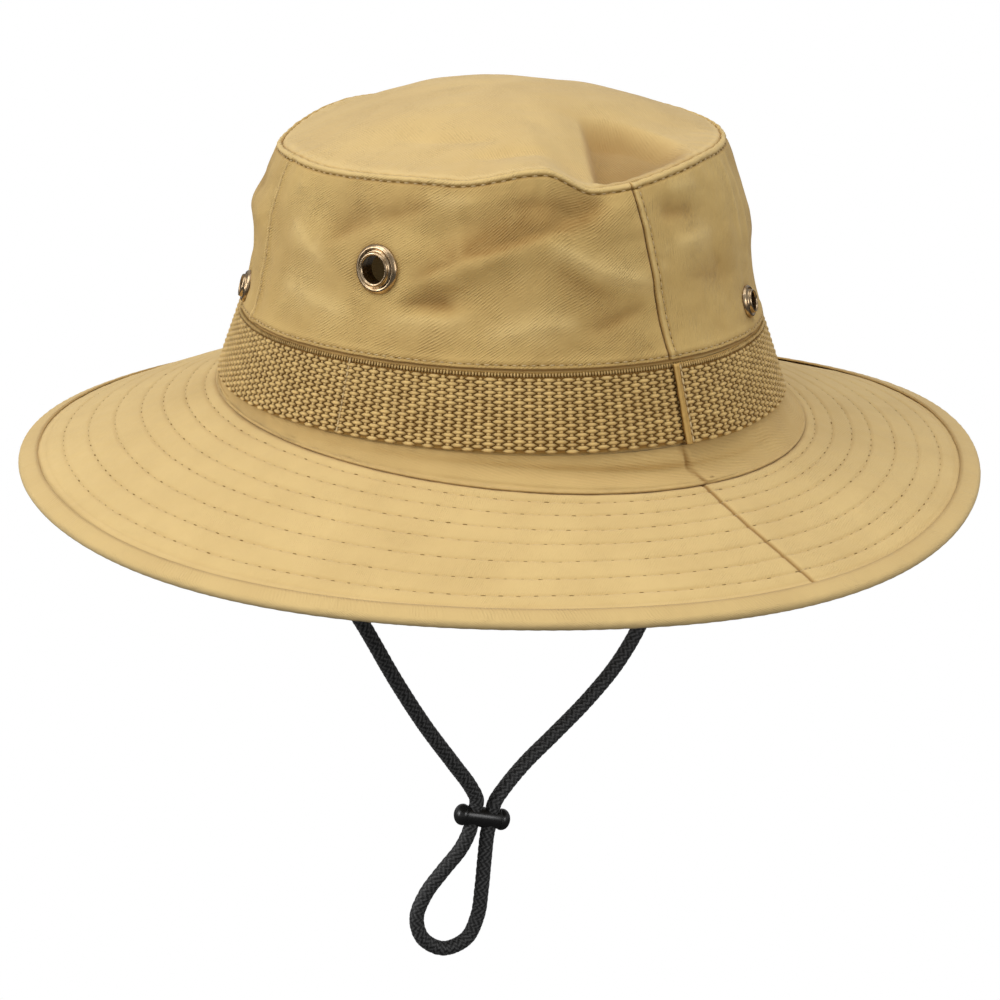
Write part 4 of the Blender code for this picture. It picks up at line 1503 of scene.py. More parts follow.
    def tip_surface(self, azimuth: Array, share: Array) -> Array:
        """Points of the finished tip."""
        return self.tip_with_wear_and_painted_shade(azimuth, share)[0]

    def tip_with_wear_and_painted_shade(self, azimuth: Array, share: Array) -> tuple[Array, Array]:
        """The finished tip, how worn it is and how much shade is painted on it.

        Args:
            azimuth: Where round the hat.
            share: How far along, from 0 to 1.

        Returns:
            The points, and their wear and painted shade.
        """
        points = self.form.tip(azimuth, share)
        inward = (1 - share) * np.linalg.norm(self.form.tip(azimuth, np.ones_like(share))[..., :2], axis=-1)
        points = points + unit(points * LEVEL) * (self.tip_reach * ease(1 - inward / (14 * MM)))[..., None]
        across = points[..., 0] / (self.form.crown_width / 2 - self.tip_inset)
        forward = points[..., 1] / (self.form.crown_length / 2 - self.tip_inset)
        points[..., 2] -= self.hollow(across, forward, share)
        wobble = Ripples(22, 14 * MM, 30 * MM).at(points)
        relief = 0.35 * MM * Ripples(5, 24 * MM, 60 * MM).at(points) * ease(inward / (10 * MM))
        relief += 0.09 * MM * Ripples(6, 7 * MM, 14 * MM).at(points)
        tucks = puckers(azimuth, self.form.mean_radius, 7.4 * MM, 4 * wobble)
        relief += 0.22 * MM * tucks * np.exp(-inward / (6 * MM))
        relief -= 0.75 * MM * turned_edge(inward, 0.9 * MM)
        # Paler just inside the rolled edge, which is wear; painted shade in the seam at the edge.
        wear_and_painted_light = 0.15 * bell(inward - 1.6 * MM, 0.9 * MM) - 0.35 * bell(inward, 0.4 * MM)
        # Painted shade over the hollow above the back seam.
        wear_and_painted_light -= 0.62 * self.fan(across, forward) * ease((1.1 - share) / 0.22)
        # The whole tip leans a little to the right of the view, which the solid has level.
        relief += 1.5 * MM * (1 - share**2) * (0.83 * points[..., 0] - 0.56 * points[..., 1]) / 0.07
        points[..., 2] += relief
        return points, wear_and_painted_light

    def hollow(self, across: Array, forward: Array, share: Array) -> Array:
        """How deep the tip is pushed in over the back seam, and in the dent at its left.

        Args:
            across: place to the right, as a share of the tip's half width.
            forward: place to the front, as a share of its half length.
            share: place from the middle (0) to the edge (1).

        Returns:
            The depth there.
        """
        fan = self.fan(across, forward)
        depth = 7.2 * MM * fan * ease((1 - share) / 0.2)
        flat = (across * 0.07, forward * 0.086)
        rest = crease(*flat, (-0.047, -0.012), (-0.030, -0.044), 4.0 * MM, 4.0 * MM)
        rest += 1.5 * crease(*flat, (-0.040, -0.046), (-0.020, -0.062), 2.4 * MM, 5.5 * MM)
        rest += 0.7 * crease(*flat, (0.020, 0.030), (0.044, -0.012), 6.0 * MM, 6.0 * MM)
        return depth + 1.7 * MM * rest * ease((1 - share) / 0.1)

    def fan(self, across: Array, forward: Array) -> Array:
        """1 inside the hollow over the back seam and 0 outside, with its crisp fold on the left.

        Args:
            across: Places across, as shares.
            forward: Places along, as shares.

        Returns:
            The shares.
        """
        left = ((across - 0.08) * 0.47 - (forward + 0.45) * 0.31) / 0.563
        edge = 0.13 + 0.28 * np.sqrt(np.maximum(1 - ((forward + 0.8) / 0.36) ** 2, 0))
        return ease(left * 76 / 5.0) * ease((edge - across) * 70 / 9.0) * ease((-0.42 - forward) * 86 / 8.0)

    def tip(self, material: Finish) -> Piece:
        """The domed tip with its dents.

        Args:
            material: Its finish.

        Returns:
            The tip.
        """
        inward = np.concatenate([np.arange(0, 3.0, 0.3), np.linspace(3.0, 74.0, 62)]) / 76.0
        turns = np.linspace(0, TURN, self.tip_columns, endpoint=False)
        share, azimuth = np.meshgrid(1 - inward, turns, indexing="ij")
        points, wear_and_painted_light = self.tip_with_wear_and_painted_shade(azimuth, share)
        turned = self.allowance(turns)
        points = np.concatenate([turned, points])
        # Painted shade on the edge turned down inside the wall, in the top seam's gap.
        wear_and_painted_light = np.concatenate([np.full(turned.shape[:2], -1.0), wear_and_painted_light])
        middle = self.tip_surface(np.zeros(1), np.zeros(1))[0]
        flat = points[..., :2].copy()
        return sheet_mesh("tip_cloth", points, flat, wear_and_painted_light, material, self.shell, pole=middle)

    def allowance(self, turns: Array) -> Array:
        """The tip's edge turned down inside the wall, which closes the seam, from its lower end up.

        Args:
            turns: Where round the hat.

        Returns:
            Rows of points.
        """
        rows = []
        for down, inset in ((2.6 * MM, 1.0 * MM), (1.1 * MM, 0.7 * MM)):
            edge = self.wall(turns, np.full_like(turns, 1 - down / self.form.wall_height))
            rows.append(edge - unit(edge * LEVEL) * inset)
        return np.stack(rows)

    def base(self, material: Finish) -> Piece:
        """The strip behind the webbing, flared to the brim, with its fold and its seam.

        Args:
            material: Its finish.

        Returns:
            The strip.
        """
        turns = np.linspace(0, TURN, self.base_columns, endpoint=False)
        down = np.linspace(1, 0, 30)[:-1]
        highest = 1 + self.form.hem_lap / self.form.hem_height
        up = np.concatenate([np.linspace(0, 0.88, 7), [0.9, 0.92, 0.94, 0.96, 0.98, 1.0, highest]])
        share, azimuth = np.meshgrid(down, turns, indexing="ij")
        flare = self.form.flare(azimuth, share)
        lower = unit(flare * LEVEL)
        middle = 0.42 + 0.1 * np.sin(3 * azimuth + 1.0)
        aside = wrapped(azimuth + math.radians(12))
        fold = bell(share - middle, 0.15) * bell(aside, math.radians(38))
        ridge = bell(share - middle - 0.3, 0.13) * bell(aside, math.radians(44))
        reach = wrapped(azimuth - math.radians(1.5) * (share - 0.3)) * self.form.crown_width / 2
        seam = self.lap * lap(reach, self.lap_width) - 0.8 * MM * bell(reach, 0.7 * MM)
        uneven = 0.35 * MM * Ripples(7, 14 * MM, 40 * MM).at(flare)
        relief = -2.2 * MM * fold + 0.9 * MM * ridge + seam + uneven
        relief = relief * ease((1 - share) / 0.08) * ease(share / 0.1)
        flare = flare + lower * relief[..., None]
        flare[..., 2] += 0.5 * MM * ease((share - 0.6) / 0.4)
        foot = flare[:1] + lower[:1] * 0.5 * MM - np.array([0.0, 0.0, 0.5 * MM])
        under = foot - np.array([0.0, 0.0, 0.5 * MM]) - lower[:1] * 0.4 * MM
        flare = np.concatenate([under, foot, flare])
        share, azimuth = (np.concatenate([rows[:1], rows[:1], rows]) for rows in (share, azimuth))
        # Painted shade along the strip's seam.
        wear_and_painted_light = -1.0 * bell(np.concatenate([reach[:1], reach[:1], reach]), 0.7 * MM)
        share_up, azimuth_up = np.meshgrid(up, turns, indexing="ij")
        shown = 1.15 * MM * ease((share_up - 0.9) / 0.05)
        points = np.concatenate([flare, self.form.base(azimuth_up, share_up, shown)])
        height = np.concatenate([(share - 1) * self.form.flare_back, share_up * self.form.hem_height])
        flat = np.stack([np.concatenate([azimuth, azimuth_up]) * self.form.mean_radius, height], -1)
        # Painted shade at the top of the strip, under the wall's hem.
        wear_and_painted_light = np.concatenate([wear_and_painted_light, -1.2 * ease((share_up - 0.95) / 0.04)])
        around = TURN * self.form.mean_radius
        return sheet_mesh("base_strip", points, flat, wear_and_painted_light, material, self.shell, around=around)

    def rows(self) -> list[StitchRow]:
        """The rows of top stitching: round the hem and beside each seam of the wall.

        Returns:
            The rows.
        """
        ring = np.linspace(0, TURN, self.row_steps)
        upward = np.linspace(0.03, 0.955, 90)
        height = np.full_like(ring, self.hem_stitch / self.form.wall_height)
        rows = [StitchRow(self.wall, ring, height, 3.0 * MM)]
        for seam in SEAMS.values():
            beside = self.seam_stitch * seam.lap_side / self.form.mean_radius
            rows.append(StitchRow(self.wall, seam.azimuth(upward) + beside, upward, 2.7 * MM))
        return rows

    def top_row(self) -> StitchRow:
        """The row of strong stitches under the top seam.

        Returns:
            The row.
        """
        ring = np.linspace(0, TURN, self.row_steps)
        height = np.full_like(ring, 1 - self.top_stitch / self.form.wall_height)
        return StitchRow(self.wall, ring, height, 3.4 * MM)


@dataclass(frozen=True)
class Brim:
    """The brim: two layers quilted together with rings of stitches, and its rolled binding."""

    form: HatForm
    groove: float = 0.42 * MM
    groove_width: float = 0.7 * MM
    stitch_pitch: float = 5.5 * MM
    binding_line: float = 0.865
    binding_columns: int = 640
    rim_radius: float = 165 * MM
    row_steps: int = 900

    def relief(self, azimuth: Array, share: Array, plain: Array) -> tuple[Array, Array]:
        """Quilting grooves, the pillows between them, the seam at the back and soft waves.

        Args:
            azimuth: where round the hat.
            share: how far out on the brim.
            plain: the same places on the plain brim.

        Returns:
            How far each place stands up, and how much shade is painted on it.
        """
        reach = share * self.form.brim_width * 1.08
        relief = np.zeros_like(share)
        wear_and_painted_light = np.zeros_like(share)
        wobble = Ripples(23, 9 * MM, 26 * MM).at(plain)
        for place, depth in [(ring, 1.0) for ring in QUILTING] + [(self.binding_line, 0.5)]:
            off = reach - place * self.form.brim_width * 1.08
            relief -= depth * self.groove * bell(off, self.groove_width) * (1 + 0.3 * wobble)
            # Painted shade in each quilting groove.
            wear_and_painted_light -= depth * 0.14 * bell(off, self.groove_width * 0.9)
        relief += 0.09 * MM * Ripples(8, 6 * MM, 12 * MM).at(plain)
        # Painted shadow along the brim's inner edge, under the crown's strip.
        wear_and_painted_light -= 0.45 * bell(reach, 0.8 * MM)
        across = wrapped(azimuth - np.radians(0.2 + 3.2 * share)) * (self.form.crown_width / 2 + reach)
        relief -= 0.5 * MM * bell(across, 0.55 * MM)
        relief += 0.25 * MM * ease(across / (0.8 * MM)) * (1 - ease((across - 4 * MM) / (1.5 * MM)))
        # Painted shade in the back seam's groove.
        wear_and_painted_light -= 1.1 * bell(across, 0.6 * MM)
        return relief, wear_and_painted_light

    def waves(self, share: Array, plain: Array) -> Array:
        """How far both sides of the brim rise together; its inner edge dips under the crown's strip.

        Args:
            share: How far along, from 0 to 1.
            plain: Points of the plain form.

        Returns:
            The heights.
        """
        inner = ease(share / 0.08) * ease((1 - share) / 0.12)
        waves = 0.5 * MM * Ripples(9, 40 * MM, 95 * MM).at(plain) * inner
        return waves - 0.75 * MM * (1 - ease((share + 0.01) / 0.035))

    def surface(self, azimuth: Array, share: Array) -> Array:
        """Points of the finished top of the brim.

        Args:
            azimuth: Where round the hat.
            share: How far along, from 0 to 1.

        Returns:
            The points.
        """
        plain = self.form.brim(azimuth, share)
        relief, _ = self.relief(azimuth, share, plain)
        return plain + self.form.brim_frame(azimuth)[3] * (relief + self.waves(share, plain))[..., None]

    def under(self, azimuth: Array, share: Array) -> Array:
        """Points of the finished underside of the brim.

        Args:
            azimuth: Where round the hat.
            share: How far along, from 0 to 1.

        Returns:
            The points.
        """
        plain = self.form.brim(azimuth, share)
        relief, _ = self.relief(azimuth, share, plain)
        normal = self.form.brim_frame(azimuth)[3]
        return plain - normal * (self.form.brim_thickness + relief - self.waves(share, plain))[..., None]

    def cloth(self, material: Finish) -> Piece:
        """The quilted brim, both sides, as one closed shell.

        Args:
            material: Its finish.

        Returns:
            The brim.
        """
        edges = [-0.02, -0.01, 0.0, 0.008, 0.016, 0.025, 0.035]
        beside = (-2.6, -1.4, -0.75, -0.35, 0.0, 0.35, 0.75, 1.4, 2.6)
        for place in (*QUILTING, self.binding_line):
            edges += [place + step * MM / 0.07 for step in beside]
        outward = np.unique(np.clip(edges + [0.9, 0.93, 0.96, 0.985, 1.0], -1, 1))
        near = np.array([0.4, 0.8, 1.4, 2.2, 3.2, 4.5, 6])
        near = np.concatenate([-near[::-1], [0], near]) * MM / 0.11
        turns = np.concatenate([near, np.linspace(0.07, TURN - 0.07, 335)])
        share, azimuth = np.meshgrid(outward, np.sort(turns), indexing="ij")
        azimuth = azimuth + np.radians(3.2 * share) * bell(wrapped(azimuth), 0.4)
        top = self.surface(azimuth, share)[::-1]
        bottom = self.under(azimuth, share)
        _, wear_and_painted_light = self.relief(azimuth, share, self.form.brim(azimuth, share))
        flat = self.form.brim(azimuth, share)[..., :2]
        flat, wear_and_painted_light = (np.concatenate([rows[::-1], rows]) for rows in (flat, wear_and_painted_light))
        return closed_loft("brim_cloth", np.concatenate([top, bottom]), flat, wear_and_painted_light, material)

    def binding_section(self) -> Array:
        """The binding's section as (distance in from the rim, height over the brim's top).

        Returns:
            Its points, as distances inwards and heights.
        """
        form = self.form
        over = form.clearance + form.binding_cloth
        under = form.brim_thickness + over
        width = form.binding_width + 1.1 * MM
        radius = (over + under) / 2
        middle = (over - under) / 2
        near = width - 0.25 * MM
        top = [(width, over * 0.35), (near, over), (width * 0.8, over * 1.05), (width * 0.55, over * 1.1)]
        turn = np.linspace(math.pi / 2, -math.pi / 2, 11)
        rim = [(radius * (1 - math.cos(t)), middle + radius * math.sin(t)) for t in turn]
        bottom = [(width * 0.55, -under * 1.02), (width * 0.8, -under), (near, -under)]
        bottom.append((width, -under + over * 0.6))
        inside = [
            (width * 0.7, -form.brim_thickness - 0.2 * MM),
            (form.binding_cloth, -form.brim_thickness - 0.15 * MM),
            (form.binding_cloth, 0.15 * MM),
            (width * 0.7, 0.2 * MM),
        ]
        return np.array(top + rim + bottom + inside)

    def binding_surface(self, azimuth: Array, place: Array) -> Array:
        """Points of the binding, where place counts along its section.

        Args:
            azimuth: Where round the hat.
            place: How far round the section.

        Returns:
            The points.
        """
        section = self.binding_section()
        count = len(section)
        inward = np.interp(place % count, np.arange(count + 1), np.append(section[:, 0], section[0, 0]))
        height = np.interp(place % count, np.arange(count + 1), np.append(section[:, 1], section[0, 1]))
        start, way, length, normal = self.form.brim_frame(azimuth)
        radius = self.form.crown_width / 2 + self.form.brim_width
        wobble = Ripples(24, 10 * MM, 30 * MM).at(start)
        pucker = 0.07 * MM * puckers(azimuth, radius, 5.2 * MM, 5 * wobble)
        outer = ease((self.form.binding_width - inward) / (1.5 * MM))
        side = np.where(height > -self.form.brim_thickness / 2, 1.0, -1.0)
        height = height + side * pucker * outer
        inward = inward + 0.12 * MM * wobble * (1 - outer)
        return start + way * (length - inward)[..., None] + normal * height[..., None]

    def binding(self, material: Finish) -> Piece:
        """The rolled binding round the rim.

        Args:
            material: Its finish.

        Returns:
            The binding.
        """
        count = len(self.binding_section())
        turns = np.linspace(0, TURN, self.binding_columns, endpoint=False)
        place, azimuth = np.meshgrid(np.arange(count, dtype=float), turns, indexing="ij")
        points = self.binding_surface(azimuth, place)
        flat = np.stack([azimuth * self.rim_radius, place * 0.8 * MM], -1)
        # Paler on the outer roll, which is wear; painted shade along the inner edge on top.
        wear_and_painted_light = 0.35 * bell(place - 9.0, 2.5) - 0.5 * bell(place - 1.0, 0.7)
        around = TURN * self.rim_radius
        return closed_loft("rim_binding", points[::-1], flat[::-1], wear_and_painted_light[::-1], material, around)

    def stitch_rows(self, surface: Surface, facing: int) -> list[StitchRow]:
        """The quilting rings on one side of the brim.

        Args:
            surface: The surface they lie on.
            facing: -1 for the upper side, 1 for the underside.

        Returns:
            The rows.
        """
        ring = np.linspace(0, TURN, self.row_steps)
        shares = [np.full_like(ring, place) for place in QUILTING]
        return [StitchRow(surface, ring, share, self.stitch_pitch, facing) for share in shares]


def closed_loft(
    name: str, points: Array, flat: Array, wear_and_painted_light: Array, material: Finish, around: float = 0.0
) -> Piece:
    """Makes a closed ring from rows of points whose last row joins the first.

    Args:
        name: the piece's name.
        points: rows by columns of points, each row going round the hat.
        flat: the same points laid flat, in metres.
        wear_and_painted_light: worn (+) places, and places where shade is painted (-).
        material: its finish.
        around: how long a whole turn is when laid flat, or 0 where the flat layout closes by itself.

    Returns:
        The finished piece.
    """
    rows, columns = points.shape[:2]
    row, column = np.meshgrid(np.arange(rows), np.arange(columns), indexing="ij")
    below, above = row * columns, (row + 1) % rows * columns
    after = (column + 1) % columns
    faces = np.stack([below + column, below + after, above + after, above + column], -1)
    faces, vertices = faces.reshape(-1, 4).tolist(), points.reshape(-1, 3).tolist()
    return dressed_mesh(name, vertices, faces, flat.reshape(-1, 2), wear_and_painted_light.ravel(), material, after, around)


@dataclass(frozen=True)
class Webbing:
    """The woven band: yarn floats in staggered columns over a core painted darker as the shade between
    them, its end lapped at the back.
    """

    form: HatForm
    thickness: float = 1.6 * MM
    gap: float = 0.9 * MM
    lift: float = 0.5 * MM
    overlap: float = math.radians(7.0)
    settle: float = math.radians(24.0)
    column: float = 3.25 * MM
    row: float = 1.87 * MM
    core_depth: float = 0.5 * MM
    end_fold: float = 2.5 * MM

    def lifted(self, turn: Array) -> Array:
        """How far out the band's outside is, the turn counting from its over end."""
        share = 1 - ease((turn - self.overlap) / self.settle)
        return self.form.clearance + self.thickness + share * (self.thickness + self.form.clearance)

    def surface(self, turn: Array, height: Array) -> Array:
        """Points of the band's outside; height is in metres above its foot."""
        uneven = 0.25 * MM * Ripples(10, 25 * MM, 60 * MM).at(oval(turn, 0.1, 0.09))
        return self.form.base(turn, height / self.form.hem_height, self.lifted(turn) + uneven)

    @property
    def top(self) -> float:
        """Height of the band's upper edge."""
        return self.form.hem_height - self.gap

    def core(self, material: Finish) -> Piece:
        """The body of the band between and under the floats, painted darker as their shade, with its folded
        end.

        Args:
            material: Its finish.

        Returns:
            The core.
        """
        whole = TURN + self.overlap
        turns = np.concatenate([np.linspace(0, 0.07, 40), np.linspace(0.07, whole, 480)[1:]])
        heights = np.linspace(self.lift, self.top, 26)
        height, turn = np.meshgrid(heights, turns, indexing="ij")
        points = self.surface(turn, height)
        arc = turn * self.form.mean_radius
        folded = 1 - ease((arc - self.end_fold) / (0.5 * MM))
        edge = 0.5 * MM * bell(arc, 0.5 * MM) + 0.3 * MM * bell(arc - self.end_fold, 0.35 * MM)
        knots = 0.2 * MM * Ripples(11, 1.3 * MM, 2.6 * MM, 14).at(points) * folded
        sunk = self.core_depth * (1 - folded) + edge - knots - 0.25 * MM * folded
        out = unit(points * LEVEL)
        points = points - out * sunk[..., None]
        # Painted shade: the ground is deep between the floats and darkest on the over end's cut edge, and a
        # darker line runs across the folded end. The folded end and the band's upper and lower edges are
        # pale, in the yarn's own colour.
        wear_and_painted_light = 1.7 * folded - 1 - 0.5 * bell(arc - 1.3 * MM, 0.3 * MM) - 3 * (1 - ease(arc / (0.3 * MM)))
        wear_and_painted_light += 1.2 * (1 - ease((self.top - height) / (0.8 * MM)))
        wear_and_painted_light += 0.8 * (1 - ease((height - self.lift) / (0.6 * MM)))
        flat = np.stack([arc, height], -1)
        return sheet_mesh("webbing_core", points, flat, wear_and_painted_light, material, 0.9 * MM, closed_round=False)

    def floats(self, offset: int) -> Places:
        """Places for the floats of the weave.

        Args:
            offset: 0 for the floats, 1 for the knots between two of a column.

        Returns:
            The places, sunk into the core.
        """
        ring = np.linspace(0, TURN + self.overlap, 2400)
        path = self.surface(ring, np.full_like(ring, self.form.hem_height / 2))
        lengths = travelled(path)
        columns = np.arange(self.end_fold + 0.5 * self.column, lengths[-1], self.column)
        turns = np.interp(columns, lengths, ring)
        sets = []
        for number, turn in enumerate(turns):
            first = self.lift + self.row * (0.32 + 0.5 * (number % 2 + offset))
            heights = np.arange(first, self.top - 1.35 * MM, self.row)
            sets.append(self.places(np.full_like(heights, turn), heights, upright=offset != 0))
        return Places.joined(sets).sunk(self.core_depth * 0.75)

    def places(self, turns: Array, heights: Array, upright: bool) -> Places:
        """Places on the band, lying round it or standing up.

        Args:
            turns: Where round the hat.
            heights: Heights on the band.
            upright: Whether the yarns stand.

        Returns:
            The places.
        """
        points = self.surface(turns, heights)
        round_way = unit(self.surface(turns + 0.004, heights) - self.surface(turns - 0.004, heights))
        up_way = unit(self.surface(turns, heights + 0.3 * MM) - self.surface(turns, heights - 0.3 * MM))
        out = unit(np.cross(round_way, up_way))
        return Places(points, up_way if upright else round_way, out)

    def selvedge(self) -> Places:
        """Fine picks along the upper edge.

        Returns:
            The places.
        """
        count = 560
        turns = np.linspace(self.end_fold / self.form.mean_radius, TURN + self.overlap, count)
        heights = np.full(count, self.top - 0.72 * MM)
        return self.places(turns, heights, upright=True).sunk(self.core_depth * 0.6)

    def tacks(self) -> Places:
        """Upright rows of stitches that hold the band to the crown, and the row at its folded end.

        Returns:
            The places.
        """
        heights = np.arange(self.lift + 1.2 * MM, self.top - 0.8 * MM, 2.1 * MM)
        turns = [2.3 * MM / self.form.mean_radius] + [math.radians(d) for d in (70.0, 180.0, 290.0)]
        sets = [self.places(np.full_like(heights, turn), heights, upright=True) for turn in turns]
        return Places.joined(sets).sunk(-0.3 * MM)


@dataclass(frozen=True)
class Eyelets:
    """The brass vents: a domed rolled flange, a barrel through the cloth and a washer inside."""

    crown: Crown
    radius: float = 8.2 * MM
    bore: float = 4.5 * MM
    barrel: float = 5.2 * MM
    washer: float = 6.8 * MM
    standing: float = 2.3 * MM
    seat: float = 0.7 * MM
    steps: int = 64

    def profile(self, size: float) -> Array:
        """Closed section of one eyelet as (radius, height over the cloth).

        Args:
            size: The eyelet's scale.

        Returns:
            Its points, as radii and heights.
        """
        bore, flange = self.bore * size, self.radius * size
        inside = -self.crown.form.cloth - self.seat
        lip, tall = bore + 0.16 * (flange - bore), self.standing
        roll = [
            (lip - (lip - bore) * math.cos(turn), tall - 0.6 * MM + 0.6 * MM * math.sin(turn))
            for turn in np.linspace(0, math.pi, 9)
        ]
        groove = bore + 0.4 * (flange - bore)
        dome = []
        for share in np.linspace(0.0, 1.0, 13):
            height = 0.62 * MM + 0.62 * MM * math.sin(math.pi * share) ** 0.7 - 0.5 * MM * share**3
            dome.append((groove + (flange - groove) * share, height))
        edge = [(flange, 0.03 * MM), (self.barrel * size, 0.02 * MM), (self.barrel * size, inside)]
        washer = self.washer * size
        back = [(washer, inside), (washer, inside - 0.6 * MM), (bore, inside - 0.7 * MM)]
        return np.array(roll + dome + edge + back)

    def build(self, vent: Vent, material: Finish) -> Piece:
        """Turns one eyelet and seats it in the wall.

        Args:
            vent: The eyelet's place and scale.
            material: Its finish.

        Returns:
            The eyelet.
        """
        section = self.profile(vent.size)
        turns = np.linspace(0, TURN, self.steps, endpoint=False)
        radius, turn = np.meshgrid(section[:, 0], turns, indexing="ij")
        height = np.repeat(section[:, 1:], self.steps, axis=1)
        local = np.stack([radius * np.cos(turn), radius * np.sin(turn), height], -1)
        azimuth = np.array([math.radians(vent.degrees)])
        share = np.array([vent.share])
        form = self.crown.form
        along = unit(form.wall(azimuth + 0.02, share) - form.wall(azimuth - 0.02, share))[0]
        up = form.wall(azimuth, share + 0.02)[0] - form.wall(azimuth, share - 0.02)[0]
        out = unit(np.cross(along, up))
        axes = np.stack([along, np.cross(out, along), out])
        points = local @ axes + form.wall(azimuth, share)[0]
        flat = np.stack([turn * 0.006, radius], -1)
        name = vent.node.replace("eyelet", "vent")
        return closed_loft(name, points[::-1], flat, np.zeros_like(radius), material)


@dataclass(frozen=True)
class ChinCord:
    """The braided chin cord from tab to tab, through the toggle twice, and the toggle."""

    diameter: float = 5.0 * MM
    mouth: float = 0.082
    top: float = -0.006
    tab_foot: float = -0.016
    toggle_length: float = 20.5 * MM
    toggle_diameter: float = 7.6 * MM
    toggle_cap: float = 3.8 * MM
    hole_spacing: float = 6.7 * MM
    hole_radius: float = 2.9 * MM
    toggle_centre: tuple[float, float, float] = (-0.0054, 0.0, -0.1595)
    toggle_turn: float = math.radians(17.0)
    toggle_dip: float = math.radians(13.5)
    strands: int = 8
    braid_pitch: float = 2.7 * MM

    def axes(self) -> tuple[Vector, Vector]:
        """The toggle's length and the way of its holes.

        Returns:
            The two unit ways.
        """
        flat = Vector((math.cos(self.toggle_turn), -math.sin(self.toggle_turn), 0.0))
        up = Vector((0.0, 0.0, 1.0))
        along = flat * math.cos(self.toggle_dip) - up * math.sin(self.toggle_dip)
        return along, flat * math.sin(self.toggle_dip) + up * math.cos(self.toggle_dip)

    def hole(self, side: int) -> Vector:
        """The middle of one of the toggle's holes."""
        return Vector(self.toggle_centre) + self.axes()[0] * side * self.hole_spacing / 2

    def route(self) -> list[Vector]:
        """The points that the cord passes, the same as its solid's.

        Returns:
            The points.
        """
        through = self.axes()[1] * self.toggle_diameter * 0.75
        left = (
            (-self.mouth, 0.0, self.top), (-self.mouth, 0.0, self.tab_foot), (-0.0805, 0.0, -0.030),
            (-0.0735, 0.0, -0.047), (-0.0630, 0.0, -0.065), (-0.0530, 0.0, -0.081),
            (-0.0410, 0.0, -0.102), (-0.0290, 0.0, -0.121), (-0.0175, 0.0, -0.137),
            (-0.0095, 0.0006, -0.148),
        )
        loop = (
            (-0.0128, 0.0023, -0.1705), (-0.0190, 0.0042, -0.1780), (-0.0250, 0.0061, -0.1860),
            (-0.0282, 0.0071, -0.1945), (-0.0262, 0.0064, -0.2025), (-0.0190, 0.0042, -0.2072),
            (-0.0110, 0.0018, -0.2045), (-0.0070, 0.0006, -0.1965), (-0.0055, 0.0001, -0.1860),
            (-0.0046, -0.0002, -0.1760),
        )
        right = (
            (0.0035, -0.0010, -0.1500), (0.0130, 0.0, -0.1430), (0.0250, 0.0, -0.1350),
            (0.0400, 0.0, -0.1245), (0.0530, 0.0, -0.1130), (0.0640, 0.0, -0.0980),
            (0.0725, 0.0, -0.0790), (0.0785, 0.0, -0.0580), (0.0815, 0.0, -0.0370),
            (self.mouth, 0.0, self.tab_foot), (self.mouth, 0.0, self.top),
        )
        route = [Vector(point) for point in left]
        route += [self.hole(-1) + through, self.hole(-1), self.hole(-1) - through]
        route += [Vector(point) for point in loop]
        route += [self.hole(1) - through, self.hole(1), self.hole(1) + through]
        return route + [Vector(point) for point in right]

    def path(self, pitch: float) -> Array:
        """Points at even distances on the smooth curve through the route.

        Args:
            pitch: the distance between points.

        Returns:
            The points, both ends included.
        """
        route = np.array(self.route())
        ends = np.concatenate([[2 * route[0] - route[1]], route, [2 * route[-1] - route[-2]]])
        fine = []
        steps = np.linspace(0, 1, 40, endpoint=False)[:, None]
        for before, start, end, after in zip(ends, ends[1:], ends[2:], ends[3:]):
            pairs = ((before, start), (start, end), (end, after))
            first, middle, last = (np.sqrt(np.linalg.norm(b - a)) for a, b in pairs)
            way = (end - start) / middle
            out = middle * ((start - before) / first - (end - before) / (first + middle) + way)
            back = middle * (way - (after - start) / (middle + last) + (after - end) / last)
            cubic = (2 * start - 2 * end + out + back) * steps**3
            fine.append(cubic + (3 * end - 3 * start - 2 * out - back) * steps**2 + out * steps + start)
        curve = np.concatenate(fine + [route[-1:]])
        lengths = travelled(curve)
        wanted = np.linspace(0, lengths[-1], int(round(lengths[-1] / pitch)) + 1)
        return np.stack([np.interp(wanted, lengths, curve[:, axis]) for axis in range(3)], -1)

    def build(self, material: Finish) -> Piece:
        """The cord as a tube with the braid in its surface, in the place of the cord's solid.

        Args:
            material: Its finish.

        Returns:
            The cord.
        """
        step = 0.4 * MM
        path = self.path(step)
        sides = 32
        tangents = unit(np.gradient(path, axis=0))
        first = np.array([0.0, 1.0, 0.0])
        frames = []
        for tangent in tangents:
            first = unit(first - tangent * (first @ tangent))
            frames.append((first, np.cross(tangent, first)))
        around = np.linspace(0, TURN, sides, endpoint=False)
        along = np.arange(len(path)) * step
        one = along[:, None] / self.braid_pitch + self.strands * around / TURN
        other = along[:, None] / self.braid_pitch - self.strands * around / TURN
        over = (np.floor(one) + np.floor(other)) % 2 == 0
        strand = 2 * np.abs(np.sin(math.pi * np.where(over, one, other))) ** 0.7 - 1
        radius = self.diameter / 2 - 0.05 * MM + 0.18 * MM * strand
        first, second = (np.array(ways)[:, None] for ways in zip(*frames))
        outward = np.cos(around)[None, :, None] * first + np.sin(around)[None, :, None] * second
        rings = path[:, None] + radius[..., None] * outward
        layout = (along[:, None], around[None] * self.diameter / 2)
        flat = np.stack(np.broadcast_arrays(*layout), -1)
        # The strand heights go to the finish, which paints glints on the raised strands.
        cord = tube_mesh("braided_cord", rings, flat, strand, path, material)
        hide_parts("chin_cord")
        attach(cord, "root")
        log.info("cord length %.3f m", travelled(path)[-1])
        return cord

